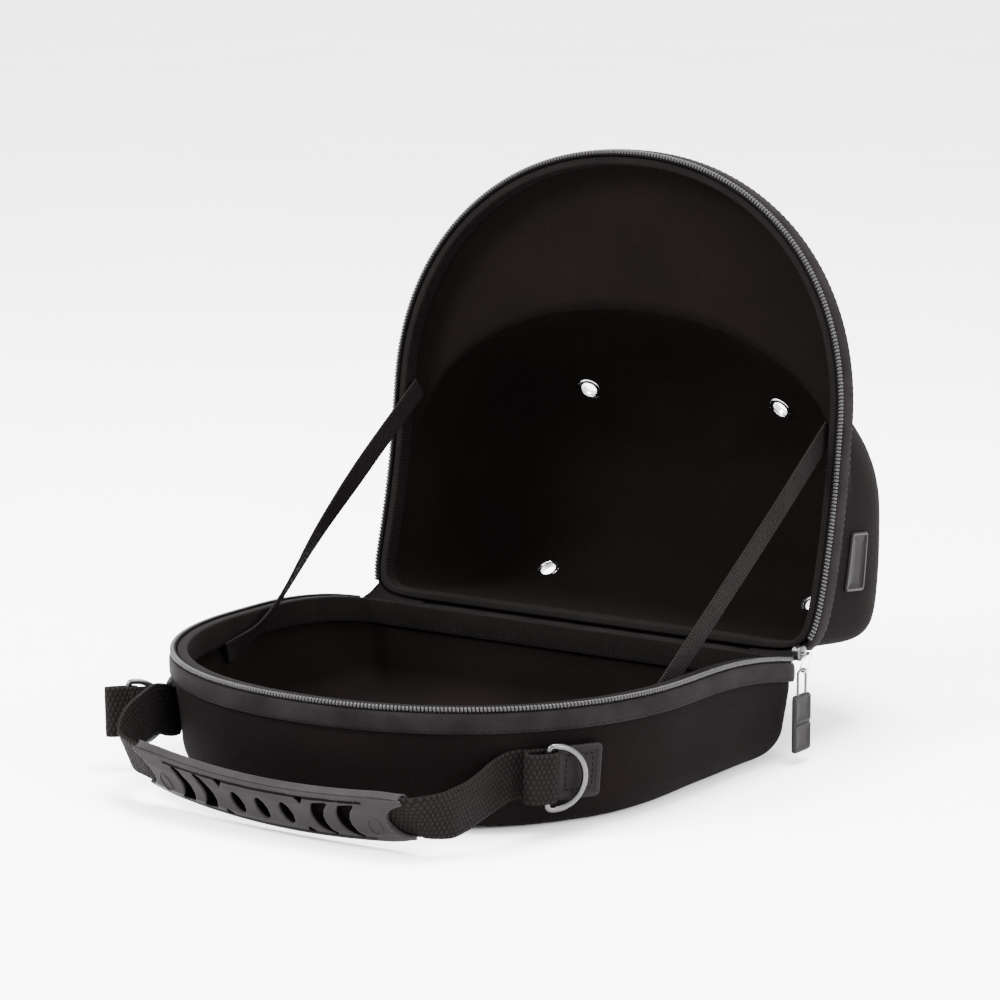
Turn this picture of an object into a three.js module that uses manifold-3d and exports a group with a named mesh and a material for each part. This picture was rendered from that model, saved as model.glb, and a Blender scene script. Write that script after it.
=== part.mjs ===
// A hard-sided baseball cap carrier case standing open: millimetres, +Z up.
// X runs across the case, -Y is the front with the handle, +Y is the hinge at the back.
// The origin is on the underside of the base, under the widest point of the rim.
import * as THREE from 'three';
import { mergeVertices } from 'three/addons/utils/BufferGeometryUtils.js';
import Module from 'manifold-3d';

const wasm = await Module();
wasm.setup();

// Driving dimensions
const GAP = 0.3;            // clearance between neighbouring pieces
const RING_STEPS = 40;      // sides of every ring that follows the rim

const CASE = {
  halfWidth: 132,           // rim, across
  front: 126.7,             // rim, from the widest point to the front
  back: 112.3,              // rim, from the widest point to the hinge
  frontPower: 2.11,         // roundness of the front of the rim
  backPower: 14,            // squareness of the two back corners
  rim: 60,                  // height of the parting line above the floor
  dip: 12.1,                // drop of the parting line at the hinge
  dipStart: 20,             // where the drop starts, as a y value
};

const BASE = {
  wall: 4.6,
  floor: 5,
  shellTop: CASE.rim - 4,
  inset: 2.5,               // wall behind the outermost line of the rim
  draft: 0.11,              // lean of the wall, per millimetre of height
  draftTop: 45,             // the wall stands upright above this height
  bottomRound: 18,
};

const LID = {
  wall: 3.4,
  inset: 2.5,
  openAngle: 96.96,         // degrees from closed
  hingeShift: 0.9,          // the open lid's edge stands this far behind the base's
  hingeSag: 2.4,            // and this far below it
  centreY: 40,              // plan centre of the dome
  depth: 93,                // dome above the parting line
  shelf: 20,                // the flat part over the peak of a cap
  domeFront: 92,            // dome, from its centre to the arch in front
  domePower: 2.2,
  sidePower: 4.5,           // squareness of the dome's side walls
  frontPower: 2.0,          // roundness of its front slope
  edge: 4,                  // lower edge of the shell above the parting line
};

const BAND = { low: 3, high: 12.5, proud: 2.2, edge: 0.6 };
const COIL = { low: 0.2, high: 2.7, inset: 0.6, width: 2.7 };
const BINDING = { cover: 2.6, inset: 3.6, leg: 1.7, baseDepth: 14, lidDepth: 10 };
const ZIP_END_Y = 102;      // the zipper stops here on each side
const HINGE = { halfLength: 100, thickness: 1.5, baseLow: 38, lidReach: 20 };

const ANCHOR = {            // each end of the handle, on the wall of the base
  along: 137,               // distance along the rim from the middle of the front
  height: 28,
  patchLength: 22,
  patchHeight: 25,
  patchThickness: 2.4,
};
const WEBBING = { width: 24, thickness: 1.8 };
const LOOP = {
  length: 16, depth: 9, height: 24, thickness: 1.6, leftTail: 14.5, leftTurn: 48, tipGap: 2.2,
};
const RING = { wire: 2.8, bar: 29.5, reach: 17, corner: 2, sag: 1 };
const GRIP = {
  length: 150, height: 27, thickness: 9, lean: -33.5, sag: 4.5, bow: 6, turn: -0.9, roll: -1.2,
  centre: [2.1, -145.5, 15.1], pocket: 5, bite: 9.5, biteRadius: 9.6, slot: 14, round: 2, steps: 18,
};
const STAY = { width: 12, thickness: 1.2 };
const EYELET = { hole: 4, barrel: 4.7, flange: 6.6, plate: 0.9, waist: 1.0, sides: 12 };
const SLIDER = { inset: 3.2, at: [106.5, 51.3], size: [4.4, 7.6, 7], bridge: 2.7, wire: 1.3 };
const PULL = {
  y: 101, bottom: 5, wire: 1.3, linkHalf: [1.8, 5.2], linkLean: 28,
  shackleWidth: 7.4, tagWidth: 14.5, tagHeight: 28, tagThickness: 2.6, groove: 0.5,
};
const LABEL = { y: 65.5, h: 31, width: 16, length: 29, thickness: 1.2 };

// Materials
const look = (color, roughness, metalness = 0) =>
  new THREE.MeshStandardMaterial({ color, roughness, metalness });
const cloth = () => look(0x1b191a, 0.9);
const satin = () => look(0x2c2b2e, 0.55);
const webbing = () => look(0x2a2829, 0.85);
const rubber = () => look(0x4b4a4c, 0.6);
const gunmetal = () => look(0x55575c, 0.3, 1);
const nickel = () => look(0xc9cacc, 0.2, 1);

const root = new THREE.Group();
const lid = new THREE.Group();
root.add(lid);

function addPiece(parent, name, geometry, material) {
  const mesh = new THREE.Mesh(geometry, material);
  mesh.name = name;
  parent.add(mesh);
  return mesh;
}

// Closed bodies
function closedBody(source) {
  let geometry = source.index ? source.toNonIndexed() : source.clone();
  geometry.deleteAttribute('normal');
  geometry.deleteAttribute('uv');
  geometry = mergeVertices(geometry, 1e-4);
  const position = geometry.getAttribute('position');
  const index = geometry.getIndex().array;
  const kept = [];
  const [a, b, c] = [new THREE.Vector3(), new THREE.Vector3(), new THREE.Vector3()];
  let volume = 0;
  for (let i = 0; i < index.length; i += 3) {
    const [p, q, r] = [index[i], index[i + 1], index[i + 2]];
    if (p === q || q === r || r === p) continue;
    kept.push(p, q, r);
    a.fromBufferAttribute(position, p);
    b.fromBufferAttribute(position, q);
    c.fromBufferAttribute(position, r);
    volume += a.dot(b.cross(c));
  }
  if (volume < 0) kept.reverse();
  geometry.setIndex(kept);
  geometry.computeVertexNormals();
  return geometry;
}

function toSolid(geometry) {
  const body = closedBody(geometry);
  return new wasm.Manifold(new wasm.Mesh({
    numProp: 3,
    vertProperties: new Float32Array(body.getAttribute('position').array),
    triVerts: new Uint32Array(body.getIndex().array),
  }));
}

function toGeometry(solid) {
  const mesh = solid.getMesh();
  const geometry = new THREE.BufferGeometry();
  geometry.setAttribute('position', new THREE.BufferAttribute(mesh.vertProperties, 3));
  geometry.setIndex(new THREE.BufferAttribute(mesh.triVerts, 1));
  geometry.computeVertexNormals();
  return geometry;
}

function bend(geometry, map) {
  const position = geometry.getAttribute('position');
  const point = new THREE.Vector3();
  for (let i = 0; i < position.count; i++) {
    point.fromBufferAttribute(position, i);
    const moved = map(point);
    position.setXYZ(i, moved.x, moved.y, moved.z);
  }
  return geometry;
}

function box(x0, x1, y0, y1, z0, z1) {
  return new THREE.BoxGeometry(x1 - x0, y1 - y0, z1 - z0)
    .translate((x0 + x1) / 2, (y0 + y1) / 2, (z0 + z1) / 2);
}

const clamp01 = (t) => Math.min(1, Math.max(0, t));
const smooth = (a, b, t) => {
  const s = clamp01((t - a) / (b - a));
  return s * s * (3 - 2 * s);
};

// The outline of the rim, seen from above
function outlineLevel(x, y) {
  const [length, power] = y < 0 ? [CASE.front, CASE.frontPower] : [CASE.back, CASE.backPower];
  return (Math.abs(x) / CASE.halfWidth) ** power + (Math.abs(y) / length) ** power;
}

function outlineRadius(angle, centreY) {
  let [inside, outside] = [0, 400];
  for (let i = 0; i < 48; i++) {
    const middle = (inside + outside) / 2;
    const level = outlineLevel(middle * Math.cos(angle), centreY + middle * Math.sin(angle));
    if (level < 1) inside = middle;
    else outside = middle;
  }
  return inside;
}

// How much further a ray from the centre runs than the outline's own normal, for the same depth
function slant(angle, centreY) {
  const radius = outlineRadius(angle, centreY);
  const [x, y] = [radius * Math.cos(angle), centreY + radius * Math.sin(angle)];
  const step = 0.01;
  const gradient = new THREE.Vector2(
    outlineLevel(x + step, y) - outlineLevel(x - step, y),
    outlineLevel(x, y + step) - outlineLevel(x, y - step),
  ).normalize();
  return 1 / (gradient.x * Math.cos(angle) + gradient.y * Math.sin(angle));
}
const insetRadius = (angle, centreY, inset) =>
  outlineRadius(angle, centreY) - inset * slant(angle, centreY);

const rimDip = (y) => CASE.dip * clamp01((y - CASE.dipStart) / (CASE.back - CASE.dipStart)) ** 2;

// Angles round the rim, closer together where it turns sharply
function ringAngles(centreY) {
  const fine = 1440;
  const turnWeight = 60;
  const sum = [0];
  let before = null;
  let heading = null;
  for (let i = 0; i <= fine; i++) {
    const angle = -Math.PI / 2 + (i / fine) * 2 * Math.PI;
    const radius = outlineRadius(angle, centreY);
    const point = new THREE.Vector2(radius * Math.cos(angle), centreY + radius * Math.sin(angle));
    if (before) {
      const step = point.clone().sub(before);
      const turn = heading ? Math.abs(Math.atan2(heading.cross(step), heading.dot(step))) : 0;
      sum.push(sum[sum.length - 1] + step.length() + turnWeight * turn);
      heading = step;
    }
    before = point;
  }
  const angles = [];
  let k = 0;
  for (let i = 0; i < RING_STEPS; i++) {
    const goal = (i / RING_STEPS) * sum[fine];
    while (sum[k + 1] <= goal) k++;
    const part = (goal - sum[k]) / (sum[k + 1] - sum[k]);
    angles.push(-Math.PI / 2 + ((k + part) / fine) * 2 * Math.PI);
  }
  return angles;
}

const baseAngles = ringAngles(0);
const lidAngles = ringAngles(LID.centreY);

// A body of rings: rings[j](angle) gives each ring's point at that angle
function ringBody(angles, rings) {
  const marks = rings.map((_, j) => new THREE.Vector2(1 + (j % 2), j));
  const geometry = new THREE.LatheGeometry(marks, RING_STEPS);
  const position = geometry.getAttribute('position');
  for (let i = 0; i <= RING_STEPS; i++) {
    const angle = angles[i % RING_STEPS];
    rings.forEach((ring, j) => {
      const p = ring(angle);
      position.setXYZ(i * rings.length + j, p.x, p.y, p.z);
    });
  }
  return geometry;
}

// Base
function basePoint(angle, radius, z) {
  const y = radius * Math.sin(angle);
  const drop = rimDip(y) * clamp01((z - 16) / 28);
  return new THREE.Vector3(radius * Math.cos(angle), y, z - drop);
}
const baseRing = (inset, z) => (angle) => basePoint(angle, insetRadius(angle, 0, inset), z);
const baseCentre = (z) => (angle) => basePoint(angle, 0, z);

const wallInset = (z) => BASE.inset + BASE.draft * Math.max(0, BASE.draftTop - z);

function baseWallRings(offset, floor) {
  const round = BASE.bottomRound - offset;
  const start = BASE.bottomRound;
  const lean = wallInset(start) + offset;
  const rings = [baseCentre(floor)];
  const corners = 3;
  for (let i = 0; i <= corners; i++) {
    const turn = (i / corners) * Math.PI / 2;
    const down = start - floor;
    rings.push(baseRing(lean + round * (1 - Math.sin(turn)), start - down * Math.cos(turn)));
  }
  rings.push(baseRing(wallInset(BASE.draftTop) + offset, BASE.draftTop));
  rings.push(baseRing(BASE.inset + offset, BASE.shellTop));
  return rings;
}

function baseShell() {
  const outer = baseWallRings(0, 0);
  const inner = baseWallRings(BASE.wall, BASE.floor).reverse();
  return closedBody(ringBody(baseAngles, [...outer, ...inner]));
}

// The same four edge pieces run round the base and, turned over, round the lid
function edgeRing(angles, ringAt, profile) {
  const rings = [...profile, profile[0]].map(([inset, h]) => ringAt(inset, h));
  return ringBody(angles, rings);
}
const bandProfile = [
  [BAND.proud, BAND.low], [BAND.edge, BAND.low], [0, BAND.low + 1.4],
  [0, BAND.high - 1.6], [BAND.edge, BAND.high], [BAND.proud, BAND.high],
];
const coilProfile = [
  [COIL.inset + COIL.width, COIL.low], [COIL.inset + 0.5, COIL.low], [COIL.inset, COIL.low + 1.2],
  [COIL.inset + 0.3, COIL.high], [COIL.inset + COIL.width, COIL.high],
];
function bindingProfile(wall, depth) {
  const top = 4 - GAP - BINDING.cover;
  const inner = BASE.inset + wall + GAP + BINDING.leg;
  return [
    [BINDING.inset, 4 - GAP], [BINDING.inset + 0.5, top], [inner - 0.5, top],
    [inner, depth], [inner - BINDING.leg, depth], [inner - BINDING.leg, 4 - GAP],
  ];
}

const onBase = (inset, h) => baseRing(inset, CASE.rim - h);
function cutAtBack(geometry, halfLength, y) {
  const back = box(-halfLength, halfLength, y, CASE.back + 5, 0, 200);
  return toGeometry(toSolid(geometry).subtract(toSolid(back)));
}

// Lid, built closed and then opened about the hinge
const hingeY = CASE.back;
const hingeZ = CASE.rim - CASE.dip;

function lidPoint(angle, radius, h) {
  const y = LID.centreY + radius * Math.sin(angle);
  const drop = rimDip(y) * (1 - smooth(14, 45, h));
  return new THREE.Vector3(radius * Math.cos(angle), y - hingeY, CASE.rim + h - drop - hingeZ);
}
const onLid = (inset, h) => (angle) =>
  lidPoint(angle, insetRadius(angle, LID.centreY, inset), h);

// Radius of the dome at height h; offset is measured inwards from its outer face
function domeRadius(angle, h, offset) {
  const depth = LID.depth - offset;
  const forward = -Math.sin(angle);
  let plan = insetRadius(angle, LID.centreY, LID.inset + offset);
  if (forward > 0) {
    const halfWidth = CASE.halfWidth - LID.inset;
    const sum = (Math.abs(Math.cos(angle)) / halfWidth) ** LID.domePower
      + (forward / LID.domeFront) ** LID.domePower;
    plan = sum ** (-1 / LID.domePower) - offset;
  }
  const power = LID.sidePower + (LID.frontPower - LID.sidePower) * smooth(-0.3, 0.75, forward);
  const rest = Math.max(0, 1 - (h / depth) ** power);
  return plan * rest ** (1 / power);
}

function lidWallRings(offset) {
  const shelf = LID.shelf - offset;
  const rim = (angle) => insetRadius(angle, LID.centreY, LID.inset + offset);
  const ledge = (angle) => rim(angle) - domeRadius(angle, shelf, offset);
  const at = (radius, h) => (angle) => lidPoint(angle, radius(angle), h);
  const rings = [
    at(rim, LID.edge),
    at(rim, shelf - 6),
    at((a) => rim(a) - Math.min(1.6, 0.15 * ledge(a)), shelf - 3.6),
    at((a) => rim(a) - Math.min(6, 0.35 * ledge(a)), shelf - 1.7),
    at((a) => rim(a) - 0.75 * ledge(a), shelf - 0.4),
    at((a) => domeRadius(a, shelf + 1.5, offset), shelf + 1.5),
  ];
  for (const part of [0.36, 0.52, 0.66, 0.78, 0.875, 0.945, 0.985]) {
    const h = part * (LID.depth - offset);
    rings.push(at((a) => domeRadius(a, h, offset), h));
  }
  rings.push(at(() => 0, LID.depth - offset));
  return rings;
}

// Ventilation eyelets: angle round the dome's centre and height above the parting line
const eyelets = [
  { name: 'eyelet_front_right', angle: -37, h: 73 },
  { name: 'eyelet_front_left', angle: 217, h: 73 },
  { name: 'eyelet_back_right', angle: 35, h: 81 },
  { name: 'eyelet_back_left', angle: 145, h: 81 },
];

function eyeletFrame({ angle, h }) {
  const a = THREE.MathUtils.degToRad(angle);
  const middle = LID.wall / 2;
  const on = (turn, height) => lidPoint(a + turn, domeRadius(a + turn, height, middle), height);
  const centre = on(0, h);
  const across = on(0.05, h).sub(on(-0.05, h));
  const up = on(0, h + 2).sub(on(0, h - 2));
  const normal = across.cross(up).normalize();
  const turn = new THREE.Quaternion().setFromUnitVectors(new THREE.Vector3(0, 1, 0), normal);
  return new THREE.Matrix4().compose(centre, turn, new THREE.Vector3(1, 1, 1));
}

function eyeletCutter(frame) {
  const seat = EYELET.flange + 0.5;
  const bore = EYELET.barrel + GAP;
  const reach = 12;
  const shift = reach / 2 + EYELET.waist;
  return [
    new THREE.CylinderGeometry(bore, bore, 2 * reach, EYELET.sides),
    new THREE.CylinderGeometry(seat, seat, reach, EYELET.sides).translate(0, shift, 0),
    new THREE.CylinderGeometry(seat, seat, reach, EYELET.sides).translate(0, -shift, 0),
  ].map((g) => toSolid(g.applyMatrix4(frame))).reduce((a, b) => a.add(b));
}

function eyeletBody(frame) {
  const seat = EYELET.waist + GAP;
  const face = seat + EYELET.plate;
  const profile = [
    [EYELET.hole, -face], [EYELET.flange, -face], [EYELET.flange, -seat], [EYELET.barrel, -seat],
    [EYELET.barrel, seat], [EYELET.flange, seat], [EYELET.flange, face], [EYELET.hole, face],
    [EYELET.hole, -face],
  ].map(([r, y]) => new THREE.Vector2(r, y));
  return closedBody(new THREE.LatheGeometry(profile, EYELET.sides).applyMatrix4(frame));
}

function lidShell(frames) {
  const outer = lidWallRings(0);
  const inner = lidWallRings(LID.wall).reverse();
  let shell = toSolid(ringBody(lidAngles, [...outer.reverse(), ...inner.reverse()]));
  for (const frame of frames) shell = shell.subtract(eyeletCutter(frame));
  return toGeometry(shell);
}

function cutLidBack(geometry, halfLength, y) {
  const back = box(-halfLength, halfLength, y - hingeY, 5, -60, 60);
  return toGeometry(toSolid(geometry).subtract(toSolid(back)));
}

// Straps: a flat ribbon through rows of centre points, each with the direction of its width
function ribbon(rows, width, thickness, steps) {
  const path = new THREE.CatmullRomCurve3(rows.map((row) => new THREE.Vector3(...row.at)));
  const acrossPath = new THREE.CatmullRomCurve3(rows.map((row) => new THREE.Vector3(...row.across)));
  const geometry = new THREE.BoxGeometry(1, width, thickness, steps, 1, 1);
  return closedBody(bend(geometry, (p) => {
    const t = clamp01(p.x + 0.5);
    const along = path.getTangent(t);
    const across = acrossPath.getPoint(t);
    across.addScaledVector(along, -across.dot(along)).normalize();
    const normal = along.clone().cross(across);
    return path.getPoint(t).addScaledVector(across, p.y).addScaledVector(normal, p.z);
  }));
}

// A closed loop of round wire through a flat closed curve, in its own x-y plane
function wireLoop(curve, wire, steps, sides = 8) {
  const geometry = new THREE.TorusGeometry(10, 1, sides, steps);
  const position = geometry.getAttribute('position');
  const point = new THREE.Vector3();
  for (let i = 0; i < position.count; i++) {
    point.fromBufferAttribute(position, i);
    const turn = Math.atan2(point.y, point.x);
    const t = (turn / (2 * Math.PI) + 1) % 1;
    const reach = Math.hypot(point.x, point.y) - 10;
    const at = curve.getPointAt(t);
    const along = curve.getTangentAt(t);
    const side = new THREE.Vector2(along.y, -along.x);
    position.setXYZ(i, at.x + side.x * reach * wire / 2, at.y + side.y * reach * wire / 2,
      point.z * wire / 2);
  }
  return closedBody(geometry);
}

function roundedPath(halfX, halfY, radius, shape = new THREE.Path()) {
  const [x, y, r] = [halfX, halfY, radius];
  shape.moveTo(x, 0);
  shape.lineTo(x, y - r);
  shape.absarc(x - r, y - r, r, 0, Math.PI / 2);
  shape.lineTo(-x + r, y);
  shape.absarc(-x + r, y - r, r, Math.PI / 2, Math.PI);
  shape.lineTo(-x, -y + r);
  shape.absarc(-x + r, -y + r, r, Math.PI, 1.5 * Math.PI);
  shape.lineTo(x - r, -y);
  shape.absarc(x - r, -y + r, r, 1.5 * Math.PI, 2 * Math.PI);
  shape.lineTo(x, 0);
  return shape;
}

// The wall of the base near an anchor: distance along the rim, height, distance out of the wall
const rimLine = (() => {
  const points = [];
  for (let i = 0; i <= 400; i++) {
    const angle = -Math.PI / 2 + (i / 400) * Math.PI;
    const radius = outlineRadius(angle, 0);
    points.push(new THREE.Vector2(radius * Math.cos(angle), radius * Math.sin(angle)));
  }
  return points;
})();
function wallPoint(along, z, out) {
  let left = along;
  let i = 0;
  while (left > rimLine[i].distanceTo(rimLine[i + 1])) {
    left -= rimLine[i].distanceTo(rimLine[i + 1]);
    i += 1;
  }
  const step = rimLine[i + 1].clone().sub(rimLine[i]).normalize();
  const outward = new THREE.Vector2(step.y, -step.x);
  const lean = BASE.inset + BASE.draft * (BASE.draftTop - z);
  const p = rimLine[i].clone().addScaledVector(step, left).addScaledVector(outward, out - lean);
  return new THREE.Vector3(p.x, p.y, z);
}

function wallPlate(along0, along1, z0, z1, out0, out1, steps) {
  const geometry = new THREE.BoxGeometry(1, 1, 1, steps, 1, 1);
  return closedBody(bend(geometry, (p) => wallPoint(
    along0 + (p.x + 0.5) * (along1 - along0),
    z0 + (p.z + 0.5) * (z1 - z0),
    out0 + (p.y + 0.5) * (out1 - out0),
  )));
}
const mirrorX = (geometry) => closedBody(geometry.clone().scale(-1, 1, 1));

const wallAcross = (along) =>
  wallPoint(along, ANCHOR.height + 1, 0).sub(wallPoint(along, ANCHOR.height, 0)).toArray();

// Handle: rubber grip, built flat (x along, y thickness, z height) and then bent
function gripMap(p) {
  const [x0, y0, z0] = GRIP.centre;
  const part = (2 * p.x / GRIP.length) ** 2;
  const lean = THREE.MathUtils.degToRad(GRIP.lean);
  const turn = THREE.MathUtils.degToRad(GRIP.turn);
  const y = p.y * Math.cos(lean) + p.z * Math.sin(lean) + GRIP.bow * part;
  const roll = p.x * Math.tan(THREE.MathUtils.degToRad(GRIP.roll));
  const z = -p.y * Math.sin(lean) + p.z * Math.cos(lean) + GRIP.sag * part + roll;
  return new THREE.Vector3(
    x0 + p.x * Math.cos(turn) - y * Math.sin(turn),
    y0 + p.x * Math.sin(turn) + y * Math.cos(turn),
    z0 + z,
  );
}

// Cut-outs in the face: side 1 for the left half, -1 for the same ones turned half round
function crescent(centre, side) {
  const at = (x, z) => [side * (centre + x), side * z];
  const shape = new THREE.Shape();
  shape.moveTo(...at(-7.5, 10.3));
  shape.bezierCurveTo(...at(-0.5, 9.8), ...at(3.2, 5), ...at(3.1, -0.5));
  shape.quadraticCurveTo(...at(3, -5), ...at(0.4, -8.8));
  shape.lineTo(...at(-8, -9.6));
  shape.quadraticCurveTo(...at(1.6, 0.4), ...at(-7.5, 10.3));
  return shape;
}
function oval(centre) {
  const shape = new THREE.Shape();
  shape.absellipse(centre, 0, 3.3, 6.9, 0, 2 * Math.PI, false, 0.06);
  return shape;
}
function wedge(centre, z, side) {
  const at = (x, y) => [side * (centre + x), side * (z + y)];
  return new THREE.Shape([at(-2.3, 1.9), at(2.3, 1.9), at(0.6, -2.3)]
    .map(([x, y]) => new THREE.Vector2(x, y)));
}
const pockets = [
  crescent(-44, 1), crescent(-30.5, 1), crescent(-44, -1), crescent(-30.5, -1),
  oval(-13.7), oval(0), oval(13.7),
  wedge(-22.4, 9, 1), wedge(23, 9, 1), wedge(-23.4, 8.2, -1), wedge(22.8, 8.2, -1),
];

function gripBody() {
  const { length, height, thickness, round } = GRIP;
  const bar = new THREE.BoxGeometry(length, thickness, height, GRIP.steps, 2, 4);
  bend(bar, (p) => {
    const rim = Math.abs(Math.abs(p.z) - height / 2) < 0.01 ? round : 0;
    const face = Math.abs(Math.abs(p.y) - thickness / 2) < 0.01 ? round : 0;
    const y = p.y - Math.sign(p.y) * Math.min(rim, face);
    const taper = 1 - 0.1 * smooth(0.8, 1, 2 * Math.abs(p.x) / length);
    return new THREE.Vector3(p.x, y, p.z * taper);
  });
  let body = toSolid(bar);
  for (const side of [-1, 1]) {
    const bite = new THREE.CylinderGeometry(GRIP.biteRadius, GRIP.biteRadius, 2 * thickness, 20)
      .translate(side * (length / 2 + GRIP.biteRadius - GRIP.bite), 0, 0);
    const half = WEBBING.thickness / 2 + 2.5 * GAP;
    const inside = side * (length / 2 - GRIP.slot);
    const past = side * (length / 2 + 5);
    const slot = box(Math.min(inside, past), Math.max(inside, past), -half, half, -20, 20);
    body = body.subtract(toSolid(bite)).subtract(toSolid(slot));
  }
  const depth = GRIP.pocket + 2;
  const front = -thickness / 2;
  for (const shape of pockets) {
    const cutter = new THREE.ExtrudeGeometry(shape, { depth, bevelEnabled: false, curveSegments: 5 })
      .rotateX(Math.PI / 2).translate(0, front + GRIP.pocket, 0);
    body = body.subtract(toSolid(cutter));
  }
  return closedBody(bend(toGeometry(body), gripMap));
}

// Webbing from under each patch to the grip
function gripEnd(side, inside) {
  return gripMap(new THREE.Vector3(side * (GRIP.length / 2 - inside), 0, 0)).toArray();
}
const gripAcross = (() => {
  const low = gripMap(new THREE.Vector3(0, 0, 0));
  return gripMap(new THREE.Vector3(0, 0, 1)).sub(low).toArray();
})();
const onWall = WEBBING.thickness / 2 + 2 * GAP;
const wallRow = (along, side) => {
  const p = wallPoint(along, ANCHOR.height, onWall);
  const [ax, ay, az] = wallAcross(along);
  return { at: [side * p.x, p.y, p.z], across: [side * ax, ay, az] };
};
// A row between the wall and the grip: how far along, how far aside and how much higher
function freeRow(start, side, [part, aside, lift, across]) {
  const from = new THREE.Vector3(...start.at);
  const p = from.lerp(new THREE.Vector3(...gripEnd(side, -4)), part);
  return { at: [p.x + side * aside, p.y, p.z + lift], across };
}
const gripRows = (side) => [-4, GRIP.slot / 4, GRIP.slot - 2]
  .map((inside) => ({ at: gripEnd(side, inside), across: gripAcross }));
// Rows on the wall, each at its distance past the middle of the patch
const seat = (past, side) => wallRow(ANCHOR.along + past, side);
const leaveRight = seat(-31, 1);
const webbingRight = [
  seat(11, 1), seat(1, 1), seat(-9, 1), seat(-20, 1), leaveRight,
  ...[
    [0.18, -0.3, -1, [0.05, -0.1, 1]], [0.4, 2.3, -1.8, [0.1, -0.25, 1]],
    [0.63, 5.1, -2, [0.1, -0.35, 1]], [0.83, 5.8, -1.2, [0, -0.5, 0.9]],
  ].map((row) => freeRow(leaveRight, 1, row)),
  ...gripRows(1),
];
const leaveLeft = seat(-13, -1);
const webbingLeft = [
  seat(11, -1), seat(2, -1), seat(-6, -1), leaveLeft,
  ...[
    [0.13, 0.8, 2.2, [-0.05, 0.1, 1]], [0.33, 3.9, 8, [-0.05, 0.05, 1]],
    [0.55, 6.8, 8.8, [0, -0.15, 1]], [0.77, 10.8, 6, [0, -0.3, 1]],
    [0.93, 9.4, 1.8, [0, -0.5, 0.9]],
  ].map((row) => freeRow(leaveLeft, -1, row)),
  ...gripRows(-1),
];

// Ring loops. Local frame: x towards the patch, y out of the wall, z up
const patchOut = WEBBING.thickness + 3 * GAP;
const patchStart = ANCHOR.along - ANCHOR.patchLength / 2;
const loopOut = patchOut + LOOP.depth / 2;
const loopFrames = {
  right: (() => {
    const along = patchStart - GAP - LOOP.length / 2;
    const origin = wallPoint(along, ANCHOR.height, loopOut);
    const ahead = wallPoint(along + 2, ANCHOR.height, loopOut)
      .sub(wallPoint(along - 2, ANCHOR.height, loopOut)).normalize();
    return { origin, angle: Math.atan2(ahead.y, ahead.x), mirror: -1 };
  })(),
  left: (() => {             // pulled away from the wall, its tail sewn on at the patch's edge
    const tip = wallPoint(patchStart - LOOP.tipGap, ANCHOR.height, patchOut + LOOP.thickness);
    const angle = THREE.MathUtils.degToRad(LOOP.leftTurn);
    const ahead = new THREE.Vector3(Math.cos(angle), Math.sin(angle), 0);
    const outward = new THREE.Vector3(-Math.sin(angle), Math.cos(angle), 0);
    const origin = new THREE.Vector3(-tip.x, tip.y, tip.z)
      .addScaledVector(ahead, -LOOP.length / 2 - LOOP.leftTail)
      .addScaledVector(outward, (LOOP.depth - LOOP.thickness) / 2);
    return { origin, angle, mirror: 1 };
  })(),
};
function placeOnLoop(geometry, { origin, angle, mirror }) {
  return closedBody(geometry.rotateX(-Math.atan(BASE.draft)).scale(1, mirror, 1).rotateZ(angle)
    .translate(origin.x, origin.y, origin.z));
}

function ringLoop(frame, tail) {
  const [halfX, halfY] = [LOOP.length / 2, LOOP.depth / 2];
  const shape = roundedPath(halfX, halfY, halfY - 0.01, new THREE.Shape());
  shape.holes.push(roundedPath(halfX - LOOP.thickness, halfY - LOOP.thickness,
    halfY - LOOP.thickness - 0.01));
  const options = { depth: LOOP.height, bevelEnabled: false, curveSegments: 4 };
  let body = toSolid(new THREE.ExtrudeGeometry(shape, options).translate(0, 0, -LOOP.height / 2));
  if (tail > 0) {
    const inner = -halfY;
    body = body.add(toSolid(box(halfX - halfY, halfX + tail, inner, inner + LOOP.thickness,
      -LOOP.height / 2, LOOP.height / 2)));
  }
  return placeOnLoop(toGeometry(body), frame);
}

function ringPath() {
  const [half, c] = [RING.bar / 2, RING.corner];
  const path = new THREE.Path();
  path.moveTo(0, 0);
  path.lineTo(0, -half + c);
  path.absarc(c, -half + c, c, Math.PI, 1.5 * Math.PI, false);
  path.lineTo(c + 1, -half);
  path.absellipse(c + 1, 0, RING.reach - c - 1, half, -Math.PI / 2, Math.PI / 2, false);
  path.lineTo(c, half);
  path.absarc(c, half - c, c, Math.PI / 2, Math.PI, false);
  path.lineTo(0, 0);
  return path;
}
const barShift = LOOP.length / 2 - LOOP.depth / 2;
function dRing(frame) {
  const wire = wireLoop(ringPath(), RING.wire, 32);
  return placeOnLoop(wire.rotateX(Math.PI / 2).translate(barShift, 0, -RING.sag), frame);
}

// Slider and pull at the end of the zipper
const sliderAt = new THREE.Vector3(CASE.halfWidth - SLIDER.inset, ...SLIDER.at);
function zipSlider() {
  const { x, y, z } = sliderAt;
  const [dx, dy, dz] = SLIDER.size;
  const body = new THREE.ExtrudeGeometry(roundedPath(dy / 2, dz / 2, 1.6, new THREE.Shape()),
    { depth: dx, bevelEnabled: false, curveSegments: 4 })
    .rotateX(Math.PI / 2).rotateZ(Math.PI / 2).translate(x + dx / 2, y, z);
  body.translate(-dx, 0, 0);
  const bridge = new THREE.TorusGeometry(SLIDER.bridge, SLIDER.wire / 2, 8, 20)
    .translate(x + dx / 2, y, z);
  return closedBody(toGeometry(toSolid(body).add(toSolid(bridge))));
}
const pivot = sliderAt.clone();
pivot.x += SLIDER.size[0] / 2 + SLIDER.bridge;
const linkLean = THREE.MathUtils.degToRad(PULL.linkLean);
const linkReach = PULL.linkHalf[1] - PULL.wire - GAP;
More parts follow.
